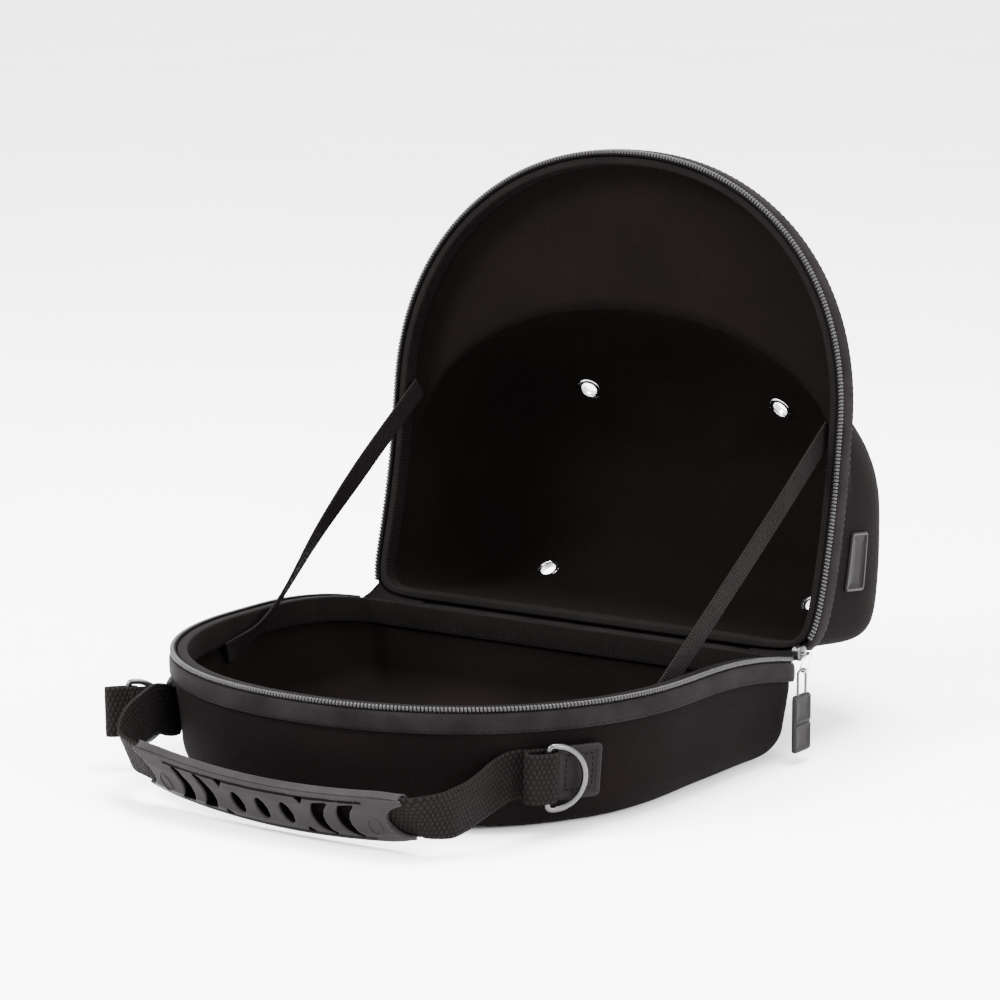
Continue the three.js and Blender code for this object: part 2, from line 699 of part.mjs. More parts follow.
const linkDown = new THREE.Vector3(0, -Math.sin(linkLean), -Math.cos(linkLean));
const linkCentre = pivot.clone().addScaledVector(linkDown, linkReach);
const shackleTop = linkCentre.z + linkReach * linkDown.z;
function pullLink() {
  const [halfX, halfZ] = PULL.linkHalf;
  return closedBody(wireLoop(roundedPath(halfX, halfZ, halfX - 0.01), PULL.wire, 24, 6)
    .rotateX(Math.PI / 2 - linkLean).translate(linkCentre.x, linkCentre.y, linkCentre.z));
}
function pullTag() {
  const { tagWidth, tagHeight, tagThickness, groove } = PULL;
  const tagShape = roundedPath(tagWidth / 2, tagHeight / 2, 1.6, new THREE.Shape());
  const tag = new THREE.ExtrudeGeometry(tagShape,
    { depth: tagThickness, bevelEnabled: false, curveSegments: 4 })
    .translate(0, 0, -tagThickness / 2);
  let body = toSolid(tag);
  for (const side of [-1, 1]) {
    const face = side * tagThickness / 2;
    body = body.subtract(toSolid(box(-tagWidth, tagWidth, -0.4, 0.4, face - groove, face + groove)));
  }
  const top = shackleTop - PULL.bottom - tagHeight / 2;
  const low = tagHeight / 2 - 3;
  const shackle = wireLoop(roundedPath(PULL.shackleWidth / 2, (top - low) / 2, 2), PULL.wire, 28, 6)
    .translate(0, (top + low) / 2, 0);
  body = body.add(toSolid(shackle));
  return closedBody(toGeometry(body).rotateX(Math.PI / 2).rotateZ(Math.PI / 2)
    .translate(pivot.x, PULL.y, PULL.bottom + tagHeight / 2));
}

// Hinge tape: out of the base's back wall and under the lid's
function hingeTape() {
  const { thickness, halfLength, baseLow, lidReach } = HINGE;
  const wallAt = (z) => basePoint(Math.PI / 2, CASE.back - wallInset(z), z);
  const low = wallAt(baseLow);
  const middle = wallAt(BASE.draftTop);
  const high = wallAt(BASE.shellTop - 1);
  const toWorld = (h, out) => {
    lid.updateMatrixWorld();
    return lid.localToWorld(new THREE.Vector3(0, -LID.inset + out, h));
  };
  const near = toWorld(LID.edge + 0.5, GAP);
  const far = toWorld(lidReach, GAP);
  const nearOut = toWorld(LID.edge + 0.5, GAP + thickness);
  const farOut = toWorld(lidReach, GAP + thickness);
  const shape = new THREE.Shape([
    [low.y + GAP, low.z], [middle.y + GAP, middle.z], [high.y + GAP, high.z],
    [high.y + GAP + 0.5, high.z + 2], [near.y - 4, near.z - 0.3], [near.y, near.z],
    [far.y, far.z], [farOut.y, farOut.z], [nearOut.y, nearOut.z], [nearOut.y - 3.6, nearOut.z - 0.7],
    [high.y + GAP + thickness, high.z], [middle.y + GAP + thickness, middle.z],
    [low.y + GAP + thickness, low.z],
  ].map(([y, z]) => new THREE.Vector2(y, z)));
  const tape = new THREE.ExtrudeGeometry(shape, { depth: 2 * halfLength, bevelEnabled: false });
  return closedBody(tape.translate(0, 0, -halfLength)
    .applyMatrix4(new THREE.Matrix4().makeBasis(
      new THREE.Vector3(0, 1, 0), new THREE.Vector3(0, 0, 1), new THREE.Vector3(1, 0, 0))));
}

// Stay straps between the halves: each row's x is an inset from the widest line of the rim
const stayAcross = [0, -0.57, 0.82];
const stayRow = (side, inset, y, z, across = stayAcross) =>
  ({ at: [side * (CASE.halfWidth - inset), y, z], across });
const stayRight = [
  stayRow(1, 12.4, -18, 43),
  stayRow(1, 11.6, 30, 75),
  stayRow(1, 11, 95, 118),
  stayRow(1, 11.4, 147, 152.6),
];
const stayLeft = [
  stayRow(-1, 12.6, -18, 43, [0.1, -0.5, 0.85]),
  stayRow(-1, 13.4, 4, 50, [0.5, -0.3, 0.8]),
  stayRow(-1, 13.8, 22, 62, [0.6, -0.45, 0.7]),
  stayRow(-1, 12.6, 57.5, 91, [0.3, -0.57, 0.8]),
  stayRow(-1, 11.6, 100, 121),
  stayRow(-1, 11.4, 147, 152.6),
];

// Woven label on the right wall of the lid
function labelPlate() {
  const geometry = new THREE.BoxGeometry(1, 1, 1, 1, 4, 4);
  return closedBody(bend(geometry, (p) => {
    const y = LABEL.y + p.z * LABEL.length;
    const h = LABEL.h + p.y * LABEL.width;
    const out = GAP + (p.x + 0.5) * LABEL.thickness;
    let angle = Math.atan2(y - LID.centreY, CASE.halfWidth);
    for (let i = 0; i < 8; i++) {
      const radius = domeRadius(angle, h, 0);
      angle = Math.asin((y - LID.centreY) / radius);
    }
    const wall = lidPoint(angle, domeRadius(angle, h, 0), h);
    return wall.add(new THREE.Vector3(out, 0, 0));
  }));
}

// Assembly of the two halves
addPiece(root, 'base_shell', baseShell(), cloth());
addPiece(root, 'base_band',
  cutAtBack(edgeRing(baseAngles, onBase, bandProfile), HINGE.halfLength + 3, 100), satin());
addPiece(root, 'base_zipper',
  cutAtBack(edgeRing(baseAngles, onBase, coilProfile), 200, ZIP_END_Y), satin());
addPiece(root, 'base_binding',
  closedBody(edgeRing(baseAngles, onBase, bindingProfile(BASE.wall, BINDING.baseDepth))), webbing());

lid.position.set(0, hingeY + LID.hingeShift, hingeZ - LID.hingeSag);
lid.rotation.x = -THREE.MathUtils.degToRad(LID.openAngle);
const frames = eyelets.map(eyeletFrame);
addPiece(lid, 'lid_shell', lidShell(frames), cloth());
addPiece(lid, 'lid_band',
  cutLidBack(edgeRing(lidAngles, onLid, bandProfile), HINGE.halfLength + 3, 100), satin());
addPiece(lid, 'lid_zipper',
  cutLidBack(edgeRing(lidAngles, onLid, coilProfile), 200, ZIP_END_Y), satin());
addPiece(lid, 'lid_binding',
  closedBody(edgeRing(lidAngles, onLid, bindingProfile(LID.wall, BINDING.lidDepth))), webbing());
eyelets.forEach(({ name }, i) => addPiece(lid, name, eyeletBody(frames[i]), nickel()));

addPiece(lid, 'label_patch', labelPlate(), webbing());

addPiece(root, 'hinge_tape', hingeTape(), cloth());
addPiece(root, 'stay_strap_right', ribbon(stayRight, STAY.width, STAY.thickness, 10), webbing());
addPiece(root, 'stay_strap_left', ribbon(stayLeft, STAY.width, STAY.thickness, 16), webbing());
addPiece(root, 'handle_grip', gripBody(), rubber());
addPiece(root, 'webbing_right',
  ribbon(webbingRight, WEBBING.width, WEBBING.thickness, 26), webbing());
addPiece(root, 'webbing_left',
  ribbon(webbingLeft, WEBBING.width, WEBBING.thickness, 30), webbing());

const patch = wallPlate(patchStart, patchStart + ANCHOR.patchLength,
  ANCHOR.height - ANCHOR.patchHeight / 2, ANCHOR.height + ANCHOR.patchHeight / 2,
  patchOut, patchOut + ANCHOR.patchThickness, 5);
addPiece(root, 'patch_right', patch, rubber());
addPiece(root, 'patch_left', mirrorX(patch), rubber());
addPiece(root, 'ring_loop_right', ringLoop(loopFrames.right, 0), webbing());
addPiece(root, 'ring_loop_left', ringLoop(loopFrames.left, LOOP.leftTail), webbing());
addPiece(root, 'd_ring_right', dRing(loopFrames.right), gunmetal());
addPiece(root, 'd_ring_left', dRing(loopFrames.left), gunmetal());
addPiece(root, 'zip_slider', zipSlider(), gunmetal());
addPiece(root, 'pull_link', pullLink(), nickel());
addPiece(root, 'pull_tag', pullTag(), rubber());

export default root;
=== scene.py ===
"""The dressed scene of a baseball cap carrier case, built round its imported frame.

Lengths are in millimetres until they become vertices, which are in metres.
X runs across the case, -Y is the front with the handle, +Y the hinge, +Z up.
"""

import math

import bmesh
import bpy
from mathutils import Matrix, Vector, noise


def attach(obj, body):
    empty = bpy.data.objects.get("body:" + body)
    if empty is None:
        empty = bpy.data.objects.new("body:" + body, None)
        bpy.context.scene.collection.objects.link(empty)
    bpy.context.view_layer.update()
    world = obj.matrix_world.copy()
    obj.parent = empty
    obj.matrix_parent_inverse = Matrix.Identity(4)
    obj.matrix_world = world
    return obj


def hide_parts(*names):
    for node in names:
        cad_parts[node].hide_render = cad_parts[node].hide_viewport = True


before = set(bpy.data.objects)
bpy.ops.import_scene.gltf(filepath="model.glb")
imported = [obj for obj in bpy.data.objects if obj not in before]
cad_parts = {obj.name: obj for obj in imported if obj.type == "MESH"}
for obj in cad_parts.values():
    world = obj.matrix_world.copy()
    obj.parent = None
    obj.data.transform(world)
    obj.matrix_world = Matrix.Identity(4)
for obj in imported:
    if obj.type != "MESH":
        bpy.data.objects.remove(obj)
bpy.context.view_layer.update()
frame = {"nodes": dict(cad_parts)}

MM = 0.001
CASE_BODY, PULL_BODY = "case", "pull"


# The driving sizes, as in the solids
class Case:
    half_width, front, back = 132.0, 126.7, 112.3
    front_power, back_power = 2.11, 14.0
    rim, dip, dip_start = 60.0, 12.1, 20.0


class Base:
    wall, floor, inset = 4.6, 5.0, 2.5
    shell_top = Case.rim - 4
    draft, draft_top, bottom_round = 0.11, 45.0, 18.0
    dip_start, dip_height = 16.0, 28.0


class Lid:
    wall, inset, open_angle = 3.4, 2.5, 96.96
    hinge_shift, hinge_sag = 0.9, 2.4
    centre_y, depth, shelf = 40.0, 93.0, 20.0
    dome_front, dome_power = 92.0, 2.2
    side_power, front_power, edge = 4.5, 2.0, 4.0
    dip_from, dip_to = 14.0, 45.0


class Anchor:
    along, height = 137.0, 28.0
    patch_length, patch_height, patch_thickness = 22.0, 25.0, 2.4
    stitch_inset = 4.4


class Webbing:
    width, thickness = 24.0, 1.8


class Loop:
    length, depth, height, thickness = 16.0, 9.0, 24.0, 1.6
    left_tail, left_turn, tip_gap = 14.5, 48.0, 2.2


class Ring:
    wire, bar, reach, corner, sag = 2.8, 29.5, 17.0, 2.0, 1.0


class Grip:
    length, height, thickness = 150.0, 27.0, 9.0
    lean, sag, bow, turn, roll = -33.5, 4.5, 6.0, -0.9, -1.2
    centre = Vector((2.1, -145.5, 15.1))
    slot, pocket = 14.0, 5.0
    boss_at, boss_drop, boss_size = 58.8, -2.0, (3.1, 5.2)


class Eyelet:
    hole, barrel, flange = 4.0, 4.7, 6.62


class Slider:
    at = Vector((128.8, 106.5, 51.3))
    size = Vector((4.4, 7.6, 7.0))
    bridge, wire = 2.7, 1.3


class Pull:
    y, bottom, wire, link_lean = 101.0, 5.0, 1.3, 28.0
    link_half = (1.8, 5.2)
    shackle_width, tag_width, tag_height, tag_thickness = 7.4, 14.5, 28.0, 2.6


class Label:
    y, h, width, length = 65.5, 31.0, 16.0, 29.0


GAP = 0.3
STAY_WIDTH, STAY_THICKNESS = 12.0, 1.2
HINGE_HALF, HINGE_THICKNESS, HINGE_LOW, HINGE_REACH = 100.0, 1.5, 38.0, 20.0
ZIP_END_Y, TOOTH_PITCH = 102.0, 1.75
BAND_END_Y, BAND_GAP = 100.0, 3.0
WIRE_SLIM = 0.2  # how much slimmer a round wire is than the faceted one, to clear it at its limits
RIM_STEPS = 300
PEBBLE = 0.00008  # metres of relief in moulded rubber


# Shapes of the rim and of the two halves
def clamp01(t):
    return min(1.0, max(0.0, t))


def smooth(a, b, t):
    s = clamp01((t - a) / (b - a))
    return s * s * (3 - 2 * s)


def outline_level(x, y):
    length, power = (
        (Case.front, Case.front_power) if y < 0 else (Case.back, Case.back_power)
    )
    return (abs(x) / Case.half_width) ** power + (abs(y) / length) ** power


def outline_radius(angle, centre_y):
    inside, outside = 0.0, 400.0
    for _ in range(40):
        middle = (inside + outside) / 2
        if outline_level(middle * math.cos(angle), centre_y + middle * math.sin(angle)) < 1:
            inside = middle
        else:
            outside = middle
    return inside


def slant(angle, radius, centre_y):
    """How much further a ray from the centre runs than the rim's own normal."""
    x, y = radius * math.cos(angle), centre_y + radius * math.sin(angle)
    step = 0.01
    gradient = Vector((
        outline_level(x + step, y) - outline_level(x - step, y),
        outline_level(x, y + step) - outline_level(x, y - step),
    )).normalized()
    return 1 / (gradient.x * math.cos(angle) + gradient.y * math.sin(angle))


class Outline:
    """Rays from a centre on the y axis to the rim, closer together where the rim turns."""

    def __init__(self, centre_y, steps=RIM_STEPS):
        self.centre_y, self.steps = centre_y, steps
        fine, turn_weight = 2400, 60.0
        points = []
        for k in range(fine + 1):
            a = -math.pi / 2 + 2 * math.pi * k / fine
            r = outline_radius(a, centre_y)
            points.append(Vector((r * math.cos(a), centre_y + r * math.sin(a))))
        lengths, weights = [0.0], [0.0]
        heading = None
        for before, point in zip(points, points[1:]):
            step = point - before
            turn = abs(heading.angle_signed(step)) if heading else 0.0
            lengths.append(lengths[-1] + step.length)
            weights.append(weights[-1] + step.length + turn_weight * turn)
            heading = step
        self.angles, self.along = [], []
        k = 0
        for i in range(steps + 1):
            goal = i / steps * weights[-1]
            while k < fine - 1 and weights[k + 1] <= goal:
                k += 1
            part = (goal - weights[k]) / (weights[k + 1] - weights[k])
            self.angles.append(-math.pi / 2 + 2 * math.pi * (k + part) / fine)
            self.along.append(lengths[k] + part * (lengths[k + 1] - lengths[k]))
        self.radius = [outline_radius(a, centre_y) for a in self.angles]
        self.slant = [slant(a, r, centre_y) for a, r in zip(self.angles, self.radius)]

    def inset(self, i, depth):
        return self.radius[i] - depth * self.slant[i]

    def plan(self, i):
        """Point i of the rim from above, with the case shut."""
        a, r = self.angles[i], self.radius[i]
        return Vector((r * math.cos(a), self.centre_y + r * math.sin(a)))


def rim_dip(y):
    return Case.dip * clamp01((y - Case.dip_start) / (Case.back - Case.dip_start)) ** 2


def wall_inset(z):
    return Base.inset + Base.draft * max(0.0, Base.draft_top - z)


base_rim = Outline(0.0)
lid_rim = Outline(Lid.centre_y)

hinge_y, hinge_z = Case.back, Case.rim - Case.dip
lid_matrix = Matrix.Translation(
    (0, hinge_y + Lid.hinge_shift, hinge_z - Lid.hinge_sag)
) @ Matrix.Rotation(-math.radians(Lid.open_angle), 4, "X")


def base_point(angle, radius, z):
    y = radius * math.sin(angle)
    dip = rim_dip(y) * clamp01((z - Base.dip_start) / Base.dip_height)
    return Vector((radius * math.cos(angle), y, z - dip))


def on_base(i, inset, h):
    """A point of the base, h below the parting line and inset from the rim."""
    return base_point(base_rim.angles[i], base_rim.inset(i, inset), Case.rim - h)


def lid_point(angle, radius, h):
    y = Lid.centre_y + radius * math.sin(angle)
    drop = rim_dip(y) * (1 - smooth(Lid.dip_from, Lid.dip_to, h))
    return lid_matrix @ Vector((radius * math.cos(angle), y - hinge_y, Case.rim + h - drop - hinge_z))


def on_lid(i, inset, h):
    return lid_point(lid_rim.angles[i], lid_rim.inset(i, inset), h)


def dome_radius(angle, plan_back, h, offset):
    """Radius of the dome at height h; offset is measured inwards from its outer face."""
    depth = Lid.depth - offset
    forward = -math.sin(angle)
    plan = plan_back
    if forward > 0:
        half = Case.half_width - Lid.inset
        total = (abs(math.cos(angle)) / half) ** Lid.dome_power
        total += (forward / Lid.dome_front) ** Lid.dome_power
        plan = total ** (-1 / Lid.dome_power) - offset
    power = Lid.side_power + (Lid.front_power - Lid.side_power) * smooth(-0.3, 0.75, forward)
    rest = max(0.0, 1 - (h / depth) ** power)
    return plan * rest ** (1 / power)


# Meshes
def circle(count):
    """Cosine and sine of count even turns."""
    turns = [2 * math.pi * k / count for k in range(count)]
    return [(math.cos(a), math.sin(a)) for a in turns]


def walk(points):
    """The distance along points at each of them."""
    along = [0.0]
    for a, b in zip(points, points[1:]):
        along.append(along[-1] + (b - a).length)
    return along


def tube_faces(first, rows, sides):
    """Faces of a tube whose rows of vertices follow each other from the vertex first."""
    faces = []
    for r in range(rows - 1):
        low = first + r * sides
        for q in range(sides):
            n = (q + 1) % sides
            faces.append((low + q, low + n, low + sides + n, low + sides + q))
    return faces


def apply_modifiers(piece):
    bpy.context.view_layer.update()
    evaluated = piece.evaluated_get(bpy.context.evaluated_depsgraph_get())
    piece.data = bpy.data.meshes.new_from_object(evaluated)
    piece.modifiers.clear()


def finish_piece(name, vertices, faces, uvs, material, slot, body=CASE_BODY, replaces=()):
    """A mesh piece in the row frame; uvs holds one pair in millimetres for each face corner."""
    mesh = bpy.data.meshes.new(name)
    mesh.from_pydata([v * MM for v in vertices], [], faces)
    if uvs:
        layer = mesh.uv_layers.new(name="weave")
        layer.data.foreach_set("uv", [c for face in uvs for uv in face for c in uv])
    mesh.polygons.foreach_set("use_smooth", [True] * len(mesh.polygons))
    piece = bpy.data.objects.new(name, mesh)
    bpy.context.collection.objects.link(piece)
    work = bmesh.new()
    work.from_mesh(mesh)
    bmesh.ops.remove_doubles(work, verts=work.verts, dist=1e-6)
    bmesh.ops.recalc_face_normals(work, faces=work.faces)
    work.to_mesh(mesh)
    work.free()
    mesh.materials.append(material)
    return dress(piece, slot, body, replaces)


def dress(piece, slot, body=CASE_BODY, replaces=()):
    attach(piece, body)
    if replaces:
        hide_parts(*replaces)
    return piece


def grid(rings, along, closed_round=True, closed_profile=False, capped=False):
    """Vertices, faces and uvs of a sheet of rings. rings[j][i] runs along the rim with i."""
    count = len(rings[0])
    vertices = [p for ring in rings for p in ring]
    across = walk([ring[0] for ring in rings + rings[:1]])
    faces, uvs = [], []
    for j in range(len(rings) if closed_profile else len(rings) - 1):
        k = (j + 1) % len(rings)
        for i in range(count if closed_round else count - 1):
            n = (i + 1) % count
            faces.append((j * count + i, j * count + n, k * count + n, k * count + i))
            u0, u1 = along[i], along[i + 1] if i + 1 < len(along) else along[i]
            uvs.append([(u0, across[j]), (u1, across[j]), (u1, across[j + 1]), (u0, across[j + 1])])
    if capped:
        for i in (0, count - 1):
            faces.append([j * count + i for j in range(len(rings))])
            uvs.append([(along[i], across[j]) for j in range(len(rings))])
    return vertices, faces, uvs


def rounded_line(points, radius, steps=4, closed=True):
    """A polygon of (x, y) with its corners rounded by short curves."""
    line = []
    count = len(points)
    for i in range(count):
        here = Vector(points[i])
        if not closed and i in (0, count - 1):
            line.append(here)
            continue
        before, after = Vector(points[i - 1]), Vector(points[(i + 1) % count])
        reach = min(radius, (before - here).length * 0.45, (after - here).length * 0.45)
        start = here + (before - here).normalized() * reach
        end = here + (after - here).normalized() * reach
        for k in range(steps + 1):
            t = k / steps
            line.append(start * (1 - t) ** 2 + here * 2 * t * (1 - t) + end * t ** 2)
    return line


def rim_sweep(name, rim, place, profile, keep, material, slot, replaces):
    """A profile of (inset, h) swept along the rim where keep(point) holds."""
    kept = [keep(place(i, 2.0, 5.0)) for i in range(rim.steps)]
    if all(kept):
        order, closed = list(range(rim.steps)), True
        along = rim.along
    else:
        first = next(i for i in range(rim.steps) if kept[i] and not kept[i - 1])
        order, closed = [], False
        while kept[(first + len(order)) % rim.steps] and len(order) < rim.steps:
            order.append((first + len(order)) % rim.steps)
        total = rim.along[-1]
        along = [rim.along[i] - (total if i >= first else 0) for i in order]
    rings = [[place(i, inset, h) for i in order] for inset, h in profile]
    parts = grid(rings, along, closed, True, not closed)
    return finish_piece(name, *parts, material, slot, replaces=replaces)


def centripetal(points, t):
    """A point of a smooth curve through points, t from 0 to 1."""
    last = len(points) - 1
    place = clamp01(t) * last
    i = min(int(place), last - 1)
    w = place - i
    p1, p2 = points[i], points[i + 1]
    p0 = points[i - 1] if i > 0 else 2 * points[0] - points[1]
    p3 = points[i + 2] if i + 2 <= last else 2 * points[-1] - points[-2]
    d0, d1, d2 = (max(1e-4, (b - a).length) ** 0.5 for a, b in ((p0, p1), (p1, p2), (p2, p3)))
    m1 = ((p1 - p0) / d0 - (p2 - p0) / (d0 + d1) + (p2 - p1) / d1) * d1
    m2 = ((p2 - p1) / d1 - (p3 - p1) / (d1 + d2) + (p3 - p2) / d2) * d1
    return (
        p1 + m1 * w
        + (3 * (p2 - p1) - 2 * m1 - m2) * w * w
        + (2 * (p1 - p2) + m1 + m2) * w ** 3
    )


def strap(name, frames, width, thickness, material, slot, closed=False, body=CASE_BODY, replaces=()):
    """A flat strap through frames of (point, across, normal), with soft edges."""
    half, thin, columns = width / 2, thickness / 2, 16
    top = [(-half + width * k / columns, thin) for k in range(1, columns)]
    edge = half - min(thin, 0.6) * 0.5
    top = [(-edge, thin * 0.72)] + top + [(edge, thin * 0.72)]
    section = top + [(-x, -y) for x, y in top]
    along = walk([frame[0] for frame in frames + frames[:1]])
    rings = [[p + across * x + normal * y for p, across, normal in frames] for x, y in section]
    parts = grid(rings, along, closed, True, not closed)
    return finish_piece(name, *parts, material, slot, body, replaces)


def strap_frames(rows, steps):
    points = [Vector(r[0]) for r in rows]
    acrosses = [Vector(r[1]) for r in rows]
    frames = []
    for k in range(steps + 1):
        t = k / steps
        point = centripetal(points, t)
        tangent = (centripetal(points, min(1, t + 1e-4)) - centripetal(points, max(0, t - 1e-4)))
        tangent.normalize()
        across = centripetal(acrosses, t)
        across = (across - tangent * across.dot(tangent)).normalized()
        frames.append((point, across, tangent.cross(across)))
    return frames


def wire(name, points, thickness, material, slot, body, replaces=(), sides=14):
    """A closed ring of round wire through points."""
    count = len(points)
    centre = sum(points, Vector()) / count
    flat = sum(((points[k] - centre).cross(points[(k + 1) % count] - centre) for k in range(count)),
               Vector()).normalized()
    outs = [(points[(k + 1) % count] - points[k - 1]).normalized().cross(flat).normalized()
            for k in range(count)]
    rings = [[p + (out * c + flat * s) * thickness / 2 for p, out in zip(points, outs)]
             for c, s in circle(sides)]
    parts = grid(rings, walk(points + points[:1]), True, True)
    return finish_piece(name, *parts, material, slot, body, replaces)


def round_rect(half_x, half_y, radius, steps=6, sides=6):
    """Points round a rectangle with round corners, counter-clockwise from its right side."""
    radius = min(radius, half_x - 0.001, half_y - 0.001)
    corners = [(1, 1, 0.0), (-1, 1, 90.0), (-1, -1, 180.0), (1, -1, 270.0)]
    arcs = []
    for sx, sy, start in corners:
        centre = Vector((sx * (half_x - radius), sy * (half_y - radius)))
        arcs.append([
            centre + radius * Vector((math.cos(math.radians(start + 90 * k / steps)),
                                      math.sin(math.radians(start + 90 * k / steps))))
            for k in range(steps + 1)
        ])
    points = []
    for here, after in zip(arcs, arcs[1:] + arcs[:1]):
        points += here
        points += [here[-1].lerp(after[0], k / sides) for k in range(1, sides)]
    return points


def plate(name, half_u, half_v, corner, profile, place, material, slot, body=CASE_BODY, replaces=()):
    """A plate with round corners. profile holds (inset, out) from its underside to its top."""
    rings = []
    for inset, out in profile:
        ring = round_rect(*(max(0.01, size - inset) for size in (half_u, half_v, corner)))
        rings.append([place(p.x, p.y, out) for p in ring])
    middles = [[place(0, 0, out)] * len(rings[0]) for out in (profile[0][1], profile[-1][1])]
    rings = [middles[0]] + rings + [middles[1]]
    widest = rings[2]
    parts = grid(rings, walk(widest + widest[:1]))
    return finish_piece(name, *parts, material, slot, body, replaces)


def stitches(name, path, pitch, length, width, material, slot, body=CASE_BODY, closed=False):
    """A row of thread stitches along path, a list of (point, normal)."""
    ends = path[1:] + (path[:1] if closed else [])
    total = sum((b[0] - a[0]).length for a, b in zip(path, ends))
    count = max(1, round(total / pitch))
    marks = [(k + 0.5) * total / count for k in range(count)]
    vertices, faces = [], []
    walked, m = 0.0, 0
    around, stations = circle(6), (-1.0, -0.8, -0.35, 0.35, 0.8, 1.0)
    swell = {1.0: 0.05, 0.8: 0.7, 0.35: 1.0}
    for a, b in zip(path, ends):
        step = (b[0] - a[0]).length
        while m < count and marks[m] <= walked + step:
            part = (marks[m] - walked) / step
            point = a[0].lerp(b[0], part)
            normal = a[1].lerp(b[1], part).normalized()
            tangent = (b[0] - a[0]).normalized()
            side = tangent.cross(normal).normalized()
            first = len(vertices)
            for s in stations:
                size = swell[abs(s)] * width / 2
                base = point + tangent * (s * length / 2) + normal * (width * 0.12 * (1 - s * s))
                vertices += [base + side * (size * x) + normal * (size * y) for x, y in around]
            faces += tube_faces(first, len(stations), len(around))
            m += 1
        walked += step
    return finish_piece(name, vertices, faces, None, material, slot, body)


def ripple(piece, amount, size, seed):
    """Lets cloth lie a little unevenly: vertices move along their normals by soft noise."""
    mesh = piece.data
    shift = Vector((seed, 0.37 * seed, -seed))
    for v in mesh.vertices:
        v.co += v.normal * (amount * MM * noise.noise(v.co / (size * MM) + shift))
    mesh.update()


# Materials
class Look:
    """A node material with a Principled shader, and short calls that add nodes to it."""

    def __init__(self, name, roughness, metallic=0.0):
        self.material = bpy.data.materials.new(name)
        self.material.use_nodes = True
        self.tree = self.material.node_tree
        self.shader = self.tree.nodes["Principled BSDF"]
        self.shader.inputs["Roughness"].default_value = roughness
        self.shader.inputs["Metallic"].default_value = metallic

    def node(self, kind, **settings):
        made = self.tree.nodes.new(kind)
        for key, value in settings.items():
            setattr(made, key, value)
        return made

    def link(self, value, socket):
        if isinstance(value, bpy.types.NodeSocket):
            self.tree.links.new(value, socket)
        else:
            socket.default_value = value

    def math(self, operation, *values):
        made = self.node("ShaderNodeMath", operation=operation)
        for value, socket in zip(values, made.inputs):
            self.link(value, socket)
        return made.outputs[0]

    def noise(self, scale, detail=3.0, roughness=0.55):
        made = self.node("ShaderNodeTexNoise")
        made.inputs["Scale"].default_value = scale
        made.inputs["Detail"].default_value = detail
        made.inputs["Roughness"].default_value = roughness
        self.link(self.place(), made.inputs["Vector"])
        return made.outputs[0]

    def place(self):
        return self.node("ShaderNodeTexCoord").outputs["Object"]

    def axes(self, socket):
        made = self.node("ShaderNodeSeparateXYZ")
        self.link(socket, made.inputs[0])
        return made.outputs

    def wave(self, socket, pitch, shift=0.0):
        """0 to 1 and back once in each pitch."""
        turn = self.math("MULTIPLY_ADD", socket, 2 * math.pi / pitch, shift)
        return self.math("MULTIPLY_ADD", self.math("SINE", turn), 0.5, 0.5)

    def blend(self, low, high, factor, start=0.0, end=1.0):
        ramp = self.node("ShaderNodeValToRGB")
        ramp.color_ramp.elements[0].position = start
        ramp.color_ramp.elements[1].position = end
        ramp.color_ramp.elements[0].color = (*low, 1)
        ramp.color_ramp.elements[1].color = (*high, 1)
        self.link(factor, ramp.inputs[0])
        return ramp.outputs[0]

    def bump(self, height, distance, strength=1.0, under=None):
        made = self.node("ShaderNodeBump")
        made.inputs["Strength"].default_value = strength
        made.inputs["Distance"].default_value = distance
        self.link(height, made.inputs["Height"])
        if under is not None:
            self.link(under, made.inputs["Normal"])
        return made.outputs[0]

    def done(self, colour, normal, roughness=None, sheen=0.0, gloss=0.5):
        self.link(colour, self.shader.inputs["Base Color"])
        self.link(normal, self.shader.inputs["Normal"])
        self.shader.inputs["Specular IOR Level"].default_value = gloss
        if roughness is not None:
            self.link(roughness, self.shader.inputs["Roughness"])
        if sheen:
            self.shader.inputs["Sheen Weight"].default_value = sheen
            self.shader.inputs["Sheen Roughness"].default_value = 0.4
            self.shader.inputs["Sheen Tint"].default_value = (0.75, 0.68, 0.68, 1)
        return self.material


def shade(colour, factor):
    return tuple(c * factor for c in colour)


def plain_weave(name, colour, thread, roughness, sheen, depth=0.00016, gloss=0.02):
    """Woven cloth whose threads follow the object's own axes."""
    look = Look(name, roughness)
    x, y, z = look.axes(look.place())
    threads = look.math("ADD", look.wave(x, thread), look.wave(y, thread))
    threads = look.math("ADD", threads, look.wave(z, thread))
    threads = look.math("MULTIPLY", threads, 1 / 3)
    cloud = look.noise(22, 4)
    grain = look.noise(900, 2, 0.7)
    mix = look.math("MULTIPLY_ADD", cloud, 0.6, look.math("MULTIPLY", grain, 0.4))
    tone = look.blend(shade(colour, 0.72), shade(colour, 1.3), mix, 0.25, 0.75)
    large = look.bump(cloud, 0.0008, 0.35)
    weave = look.bump(look.math("MULTIPLY_ADD", grain, 0.8, threads), depth, 0.8, large)
    rough = look.math("MULTIPLY_ADD", grain, 0.15, roughness - 0.07)
    return look.done(tone, weave, rough, sheen, gloss)


